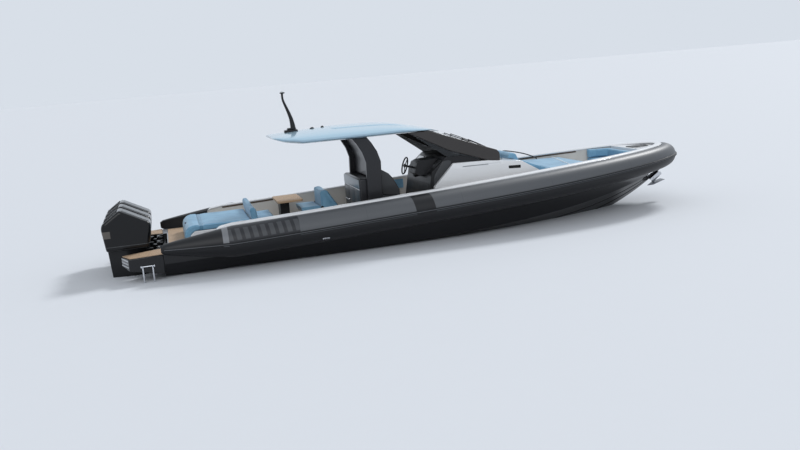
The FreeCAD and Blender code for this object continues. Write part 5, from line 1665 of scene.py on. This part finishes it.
@dataclass
class Outboards:
    """Three outboard engines: cowl, leg, swivel and propeller."""

    half: float = 0.28
    foot: float = 0.5353
    edge: float = 0.09
    draw: float = 0.085
    profile: tuple[tuple[float, float], ...] = (
        (-0.135, 1.02), (-0.69, 1.315), (-1.035, 1.075), (-1.06, 0.98), (-1.01, 0.5353),
        (-0.215, 0.5353), (-0.15, 0.8))

    def cowl(self, side: str, y: float) -> bpy.types.Object:
        """A cowl: the side outline carried across, drawn in on a curve at both sides.

        Args:
            side: the engine's name.
            y: its place across the boat.

        Returns:
            The cowl.
        """
        turn = np.linspace(-np.pi / 2.0, np.pi / 2.0, 17)
        across = np.sign(turn) * (self.half - self.edge) + self.edge * np.sin(turn)
        x, z = np.moveaxis(inset_rings(rounded_loop(self.profile, 0.05, 6),
                                       self.draw * (1.0 - np.cos(turn)) ** 1.6), -1, 0)
        points = grid(x, (y + across)[:, None], np.maximum(z, self.foot))
        piece = surface("cowl_%s_shell" % side, points, sharp=40.0)
        return settle(piece, Look.ENGINE, "outboard_" + side, ["cowl_" + side])

    def trim(self, side: str, y: float, cowl: bpy.types.Object) -> None:
        """The cowl's satin front panel, vent ribs and seams.

        Args:
            side: the engine's name.
            y: its place across the boat.
            cowl: its cowl, which the seams are laid on.
        """
        body = "outboard_" + side
        panel = slab("cowl_%s_panel" % side, (-0.4117965, y, 1.1688245), (0.27, 0.183, 0.006),
                     0.006, Look.SATIN, tilt(28.0))
        settle(panel, body=body)
        ribs = [slab("rib", (-0.864213, y + across, 1.197463), (0.16, 0.011, 0.008), 0.007,
                     Look.LEG, tilt(-34.8)) for across in (-0.165, -0.055, 0.055, 0.165)]
        settle(joined("cowl_%s_trim" % side, ribs), body=body)
        turn = np.linspace(0.0, 2.0 * np.pi, 120, endpoint=False)
        for name, z, look in (("seam", 0.63, Look.SATIN), ("skirt", 0.56, Look.LEG)):
            middle = np.array([-0.6, y, z])
            start = middle + 0.9 * grid(np.cos(turn), np.sin(turn), 0.0)
            ring = draped(cowl, start, middle - start, -0.0005)
            settle(swept_tube("cowl_%s_%s" % (side, name), ring, 0.0035, 8, True),
                   look, body)

    def build(self) -> None:
        """Make all three engines."""
        for side, y in ENGINES:
            self.trim(side, y, self.cowl(side, y))
            rounded_node("leg_" + side, 0.006, Look.LEG, "outboard_" + side)
            rounded_node("swivel_" + side, 0.005, Look.LEG, "swivel_" + side)
            dress_nodes(Look.PROP, "propeller_" + side)
        rounded_node("transom_clamps", 0.006, Look.LEG)


@dataclass
class Deck:
    """Decks, moulded bases and furniture."""

    teak_level: float = 0.44
    bases: tuple[tuple[str, Look, str, float], ...] = (
        ("transom_board", Look.HULL, "hull_black", 0.01),
        ("side_platforms", Look.HULL, "hull_black", 0.015),
        ("sunpad_base", Look.WHITE, "gelcoat_white", 0.012),
        ("lounge_base", Look.WHITE, "gelcoat_white", 0.012),
        ("table_pedestal", Look.BLACK, "console_black", 0.008),
        ("helm_unit", Look.CHARCOAL, "charcoal", 0.03),
        ("helm_seats", Look.GRAPHITE, "charcoal", 0.016),
        ("bow_liner", Look.WHITE, "gelcoat_white", 0.012),
        ("foredeck", Look.WHITE, "gelcoat_white", 0.012))

    def aft_deck(self) -> None:
        """The aft deck: its top is grey round the teak, its sides are black."""
        piece = two_tone(node_copy("aft_deck_form", "aft_deck"), Look.HULL, Look.GREY,
                         lambda normal, middle: (normal[:, 2] > 0.9)
                         & (middle[:, 2] > self.teak_level))
        settle(bevelled(piece, 0.008), nodes=["aft_deck"])

    def platform_ribs(self) -> None:
        """Three pale ribs across the aft face of each side platform."""
        for side in (-1, 1):
            ribs = [slab("rib", (-0.6725, side * 1.37, z), (0.009, 0.2, 0.012), 0.007,
                         Look.RIBBED, tilt(-side * 18.2, "Z")) for z in (0.425, 0.365, 0.305)]
            settle(joined("platform_ribs_%d" % (side + 1), ribs))

    def rings(self) -> None:
        """Steel collars on the table's pedestal, and the lounge's pivot plates."""
        low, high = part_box("table_pedestal")
        x, y = (low[0] + high[0]) / 2.0, (low[1] + high[1]) / 2.0
        parts = [disc("ring", (x, y, z), (-0.009, -0.006, 0.006, 0.009),
                      size * np.array([0.96, 1.0, 1.0, 0.96]), Look.STEEL, 40)
                 for z, size in ((high[2] - 0.012, 0.075), (0.312, 0.1))]
        settle(joined("table_rings", parts))
        outline = [(3.31, 0.69), (3.41, 0.69), (3.41, 0.755), (3.375, 0.79), (3.33, 0.79)]
        for number, (corner, out) in enumerate(zip(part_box("lounge_backrest"), (-0.008, 0.008))):
            bracket = plate("lounge_bracket_%d" % number, outline, corner[1], corner[1] + out,
                            0.04, 0.003)
            settle(bracket, Look.BLACK)

    def build(self) -> None:
        """Round and dress the moulded pieces."""
        dress_nodes(Look.TEAK, "cockpit_sole", "deck_teak")
        rounded_node("table_top", 0.008, Look.TEAK, segments=3)
        self.aft_deck()
        self.platform_ribs()
        self.rings()
        for node, look, slot, width in self.bases:
            rounded_node(node, width, look)
        rounded_node("anchor_locker_lid", 0.004, Look.BLACK, "anchor_locker_lid")


@dataclass
class Helm:
    """Console, wheel, superstructure and windscreen."""

    face: float = 4.03
    dash: Place = (5.72, 0.0, 1.483)
    dash_normal: Place = (-0.637, 0.0, 0.771)
    dash_slope: float = -39.6

    def panel(self, z: Point, y: Point, proud: float, corner: float,
              look: Look) -> bpy.types.Object:
        """A flat panel on the helm unit's aft face: a plate with its axes turned over.

        Args:
            z: its lowest and highest level.
            y: its two sides.
            proud: how far it stands out.
            corner: its corner radius.
            look: its finish.

        Returns:
            The panel.
        """
        outline = [(z[0], y[0]), (z[0], y[1]), (z[1], y[1]), (z[1], y[0])]
        piece = plate("panel", outline, self.face + 0.004, self.face - proud, corner, 0.003)
        turned = vectors(piece.data.vertices, "co")[:, [1, 2, 0]]
        piece.data.vertices.foreach_set("co", turned.ravel())
        tidy_mesh(piece.data)
        return dress(piece, look)

    def galley(self) -> None:
        """The helm unit's aft face: a slate band, a steel line, and doors with a handle."""
        parts = [self.panel((1.155, 1.335), (-0.77, 0.77), 0.006, 0.02, Look.SLATE)]
        parts += [self.panel((0.5, 1.12), sides, 0.005, 0.015, Look.GRAPHITE)
                  for sides in ((-0.775, -0.262), (-0.25, 0.25), (0.262, 0.775))]
        line = smooth_path([(self.face - 0.004, y, 1.138) for y in (-0.77, 0.0, 0.77)])
        parts.append(bar("line", line, 0.006, Look.STEEL, 10))
        handle = smooth_path([(self.face - out, y, 0.83) for out, y in (
            (0.002, 0.34), (0.03, 0.35), (0.034, 0.38), (0.034, 0.62), (0.03, 0.65),
            (0.002, 0.66))], 6)
        parts.append(bar("handle", handle, 0.008, Look.STEEL, 10))
        settle(joined("helm_unit_front", parts))

    def displays(self) -> None:
        """Displays and a switch panel on the dash, each a glass in a bezel."""
        parts = []
        normal, turn = np.array(self.dash_normal), tilt(self.dash_slope)
        for y, half, look in ((0.14, 0.2, Look.DISPLAY), (0.58, 0.2, Look.DISPLAY),
                              (-0.4, 0.14, Look.DISPLAY), (-0.71, 0.08, Look.GRAPHITE)):
            spot = np.array(self.dash) + (0.0, y, 0.0)
            parts.append(slab("bezel", spot + normal * 0.002, (0.115, half + 0.012, 0.007), 0.006,
                              Look.GRAPHITE, turn))
            parts.append(slab("glass", spot + normal * 0.0045, (0.1, half, 0.006), 0.005, look,
                              turn))
        settle(joined("dash_displays", parts))

    def throttle(self) -> None:
        """The throttle: two levers on a dark base, under one grip."""
        parts = [dress(block("base", (5.38, -0.17, 1.2), (5.53, -0.03, 1.3), 0.02, tilt(-8.0)),
                       Look.BLACK)]
        for y in (-0.125, -0.075):
            path = smooth_path([(5.45, y, 1.28), (5.44, y, 1.35), (5.42, y, 1.4),
                                (5.405, y, 1.42)], 6)
            parts.append(bar("arm", path, 0.007, Look.STEEL, 10))
        grip = grid(5.403, np.array([-0.165, -0.155, -0.105, -0.045, -0.035]), 1.424)
        parts.append(bar("grip", grip, (0.006, 0.016, 0.014, 0.016, 0.006), Look.STEEL, 14))
        settle(joined("throttle", parts))

    def side_panels(self) -> None:
        """A lighter panel on each side of the console, along its raked edge."""
        outline = [(5.585, 1.085), (5.60, 1.26), (5.80, 1.545), (5.93, 1.56), (5.985, 1.53),
                   (5.985, 1.46), (5.60, 1.075)]
        for side in (-1, 1):
            panel = plate("console_cheek_%d" % (side + 1), outline, side * 0.893, side * 0.906,
                          0.03, 0.005)
            settle(panel, Look.GRAPHITE)

    def wall_pads(self) -> None:
        """A blue pad on each inner wall beside the helm."""
        for side in (-1, 1):
            pad = block("wall_pad_%d" % (side + 1), (5.2, side * 1.405 - 0.014, 0.79),
                        (5.52, side * 1.405 + 0.014, 1.0), 0.013)
            settle(pad, Look.CUSHION)

    def wipers(self, glass: bpy.types.Object) -> None:
        """Two wipers: bars laid over the glass at their own heights, and joints between them.

        Args:
            glass: the windscreen.
        """
        parts = []
        for y in (-0.2, 0.24):
            for name, start, end, aside, lift, size in (
                    ("arm", 7.14, 6.64, 0.0, 0.062, 0.011),
                    ("link", 7.10, 6.64, 0.035, 0.055, 0.007),
                    ("frame", 7.0, 6.24, 0.0, 0.05, 0.008),
                    ("blade", 7.02, 6.2, 0.0, 0.02, 0.009)):
                path = grid(np.linspace(start, end, 40), y + aside, 3.0)
                parts.append(bar(name, draped(glass, path, lift=lift), size, Look.BLACK, 10))
            for x, foot, top, wide in ((7.15, -0.004, 0.08, 0.03), (6.64, 0.004, 0.075, 0.016),
                                       (6.25, 0.004, 0.055, 0.011), (6.99, 0.004, 0.055, 0.011)):
                parts.append(disc("joint", draped(glass, [(x, y, 3.0)])[0],
                                  (foot, top * 0.7, top * 0.95, top),
                                  wide * np.array([1.0, 0.95, 0.7, 0.3]), Look.BLACK, 16))
        settle(joined("wipers", parts))

    def build(self) -> None:
        """Round and dress the helm's pieces."""
        rounded_node("console", 0.025, Look.BLACK, segments=3)
        rounded_node("coachroof", 0.035, Look.WHITE, segments=3)
        rounded_node("windscreen_frame", 0.012, Look.PILLAR, segments=3)
        rounded_node("side_glass", 0.002, Look.SIDE)
        dress_nodes(Look.LEATHER, "steering_wheel")
        self.galley()
        self.displays()
        self.throttle()
        self.side_panels()
        self.wall_pads()
        self.wipers(rounded_node("windscreen", 0.002, Look.SCREEN))


@dataclass
class Fittings:
    """Steel fittings, the bow's rail and the plates on the white sides."""

    hoop: tuple[Place, ...] = ((7.70, 0.78, 1.33), (7.72, 0.78, 1.40), (7.80, 0.78, 1.44),
                               (8.03, 0.80, 1.40), (8.35, 0.88, 1.31), (8.62, 0.95, 1.20),
                               (8.67, 0.96, 1.16), (8.68, 0.965, 1.10))

    def side_plates(self, side: int) -> None:
        """A long groove and a blank plate on the superstructure's side.

        Args:
            side: 1 for port, -1 for starboard.
        """
        parts = []
        for name, outline, corner, look in (
                ("groove", [(6.16, 1.388), (6.77, 1.380), (6.77, 1.396), (6.16, 1.404)], 0.006,
                 Look.GREY),
                ("plate", [(7.21, 1.25), (7.48, 1.235), (7.48, 1.30), (7.21, 1.31)], 0.012,
                 Look.BLACK)):
            x, z = np.mean(outline, 0)
            y = draped(bpy.data.objects["coachroof_form"], [(x, side * 2.0, z)],
                       (0.0, -side, 0.0))[0][1]
            parts.append(dress(plate(name, outline, y - side * 0.01, y + side * 0.003, corner,
                                     0.002), look))
        settle(joined("side_plates_%d" % (side + 1), parts))

    def build(self) -> None:
        """Dress the steel pieces and add the rail and side plates."""
        dress_nodes(Look.STEEL, "boarding_ladder", "ladder_lugs", "stem_fitting")
        dress_nodes(Look.ANCHOR, "anchor")
        settle(swept_tube("bow_hoop", smooth_path(self.hoop), 0.013, 14),
               Look.BLACK)
        for side in (-1, 1):
            self.side_plates(side)


@dataclass
class Studio:
    """Camera, floor and lamps."""

    place: Place = (0.33, -18.74, 3.50)
    yaw: float = 14.01
    pitch: float = 9.77
    roll: float = -4.98
    sensor: float = 36.0
    focal: float = 40.68
    clip: float = 3000.0
    floor_middle: float = 5.5
    floor_rings: tuple[float, ...] = (0.5, 8.0, 30.0, 120.0, 600.0)
    paint: Colour = tint(214, 219, 226)
    sky: Colour = (0.94, 0.965, 1.0)
    surround: float = 0.58
    backdrop: Colour = tint(216, 223, 232)

    def camera(self) -> None:
        """The camera at the photograph's place and angle."""
        yaw, pitch, roll = (math.radians(v) for v in (self.yaw, self.pitch, self.roll))
        ahead = Vector((math.sin(yaw) * math.cos(pitch), math.cos(yaw) * math.cos(pitch),
                        -math.sin(pitch)))
        right = Vector((math.cos(yaw), -math.sin(yaw), 0.0))
        up = right.cross(ahead)
        right, up = (right * math.cos(roll) + up * math.sin(roll),
                     up * math.cos(roll) - right * math.sin(roll))
        data = bpy.data.cameras.new("camera")
        data.sensor_width = self.sensor
        data.lens = self.focal
        data.clip_end = self.clip
        eye = add_object("camera", data)
        turn = Matrix((right, up, -ahead)).transposed().to_4x4()
        eye.matrix_world = Matrix.Translation(self.place) @ turn
        bpy.context.scene.camera = eye

    def floor(self) -> None:
        """A wide pale floor at the waterline."""
        turn = np.linspace(0.0, 2.0 * np.pi, 96, endpoint=False)
        size = np.array(self.floor_rings)[:, None]
        points = grid(size * np.cos(turn) + self.floor_middle, size * np.sin(turn), 0.0)
        floor = surface("floor", points, caps=False)
        s = Shader("floor_paint")
        grain = s.noise(2.0, detail=4.0)
        s.dress(Base_Color=s.mix(grain * 0.1, self.paint, tuple(c * 0.9 for c in self.paint)),
                Roughness=0.8, Specular_IOR_Level=0.2)
        floor.data.materials.append(s.material)
        if floor.data.polygons[0].normal.z < 0.0:
            floor.data.flip_normals()

    def sun(self, name: str, place: Place, strength: float, angle: float) -> None:
        """A soft distant lamp.

        Args:
            name: the lamp's name.
            place: the direction that it shines from.
            strength: its strength in watts to the square metre.
            angle: its size in the sky in degrees, which softens the shadow.
        """
        data = bpy.data.lights.new(name, "SUN")
        data.energy = strength
        data.angle = math.radians(angle)
        lamp = add_object(name, data)
        lamp.rotation_euler = (-Vector(place)).to_track_quat("-Z", "Y").to_euler()

    def world(self) -> None:
        """An even surround that lights the boat, and seen directly is as pale as the floor."""
        world = bpy.data.worlds.new("surround")
        bpy.context.scene.world = world
        world.use_nodes = True
        tree = world.node_tree
        tree.nodes.clear()
        light, seen = (tree.nodes.new("ShaderNodeBackground") for _ in range(2))
        light.inputs["Color"].default_value = (*self.sky, 1.0)
        light.inputs["Strength"].default_value = self.surround
        seen.inputs["Color"].default_value = (*self.backdrop, 1.0)
        rays = tree.nodes.new("ShaderNodeLightPath").outputs
        join = tree.links.new
        direct = rays["Is Camera Ray"]
        for kind in ("Is Glossy Ray", "Is Transmission Ray"):
            either = tree.nodes.new("ShaderNodeMath")
            either.operation = "MAXIMUM"
            join(direct, either.inputs[0])
            join(rays[kind], either.inputs[1])
            direct = either.outputs[0]
        mix = tree.nodes.new("ShaderNodeMixShader")
        join(direct, mix.inputs[0])
        join(light.outputs[0], mix.inputs[1])
        join(seen.outputs[0], mix.inputs[2])
        join(mix.outputs[0], tree.nodes.new("ShaderNodeOutputWorld").inputs["Surface"])

    def build(self) -> None:
        """Make the studio."""
        bpy.context.scene.view_settings.view_transform = "Standard"
        self.camera()
        self.floor()
        self.world()
        self.sun("key", (11.0, 9.0, 12.4), 1.7, 14.0)
        self.sun("fill", (-4.0, -14.0, 9.0), 0.7, 40.0)


def main() -> None:
    """Build the scene in order."""
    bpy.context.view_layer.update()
    for part in (Studio(), Collar(), HullShell(), Deck(), Pads(), Helm(), Hardtop(), Outboards(),
                 Fittings()):
        log.info("building %s", type(part).__name__)
        part.build()


if __name__ == "__main__":
    main()
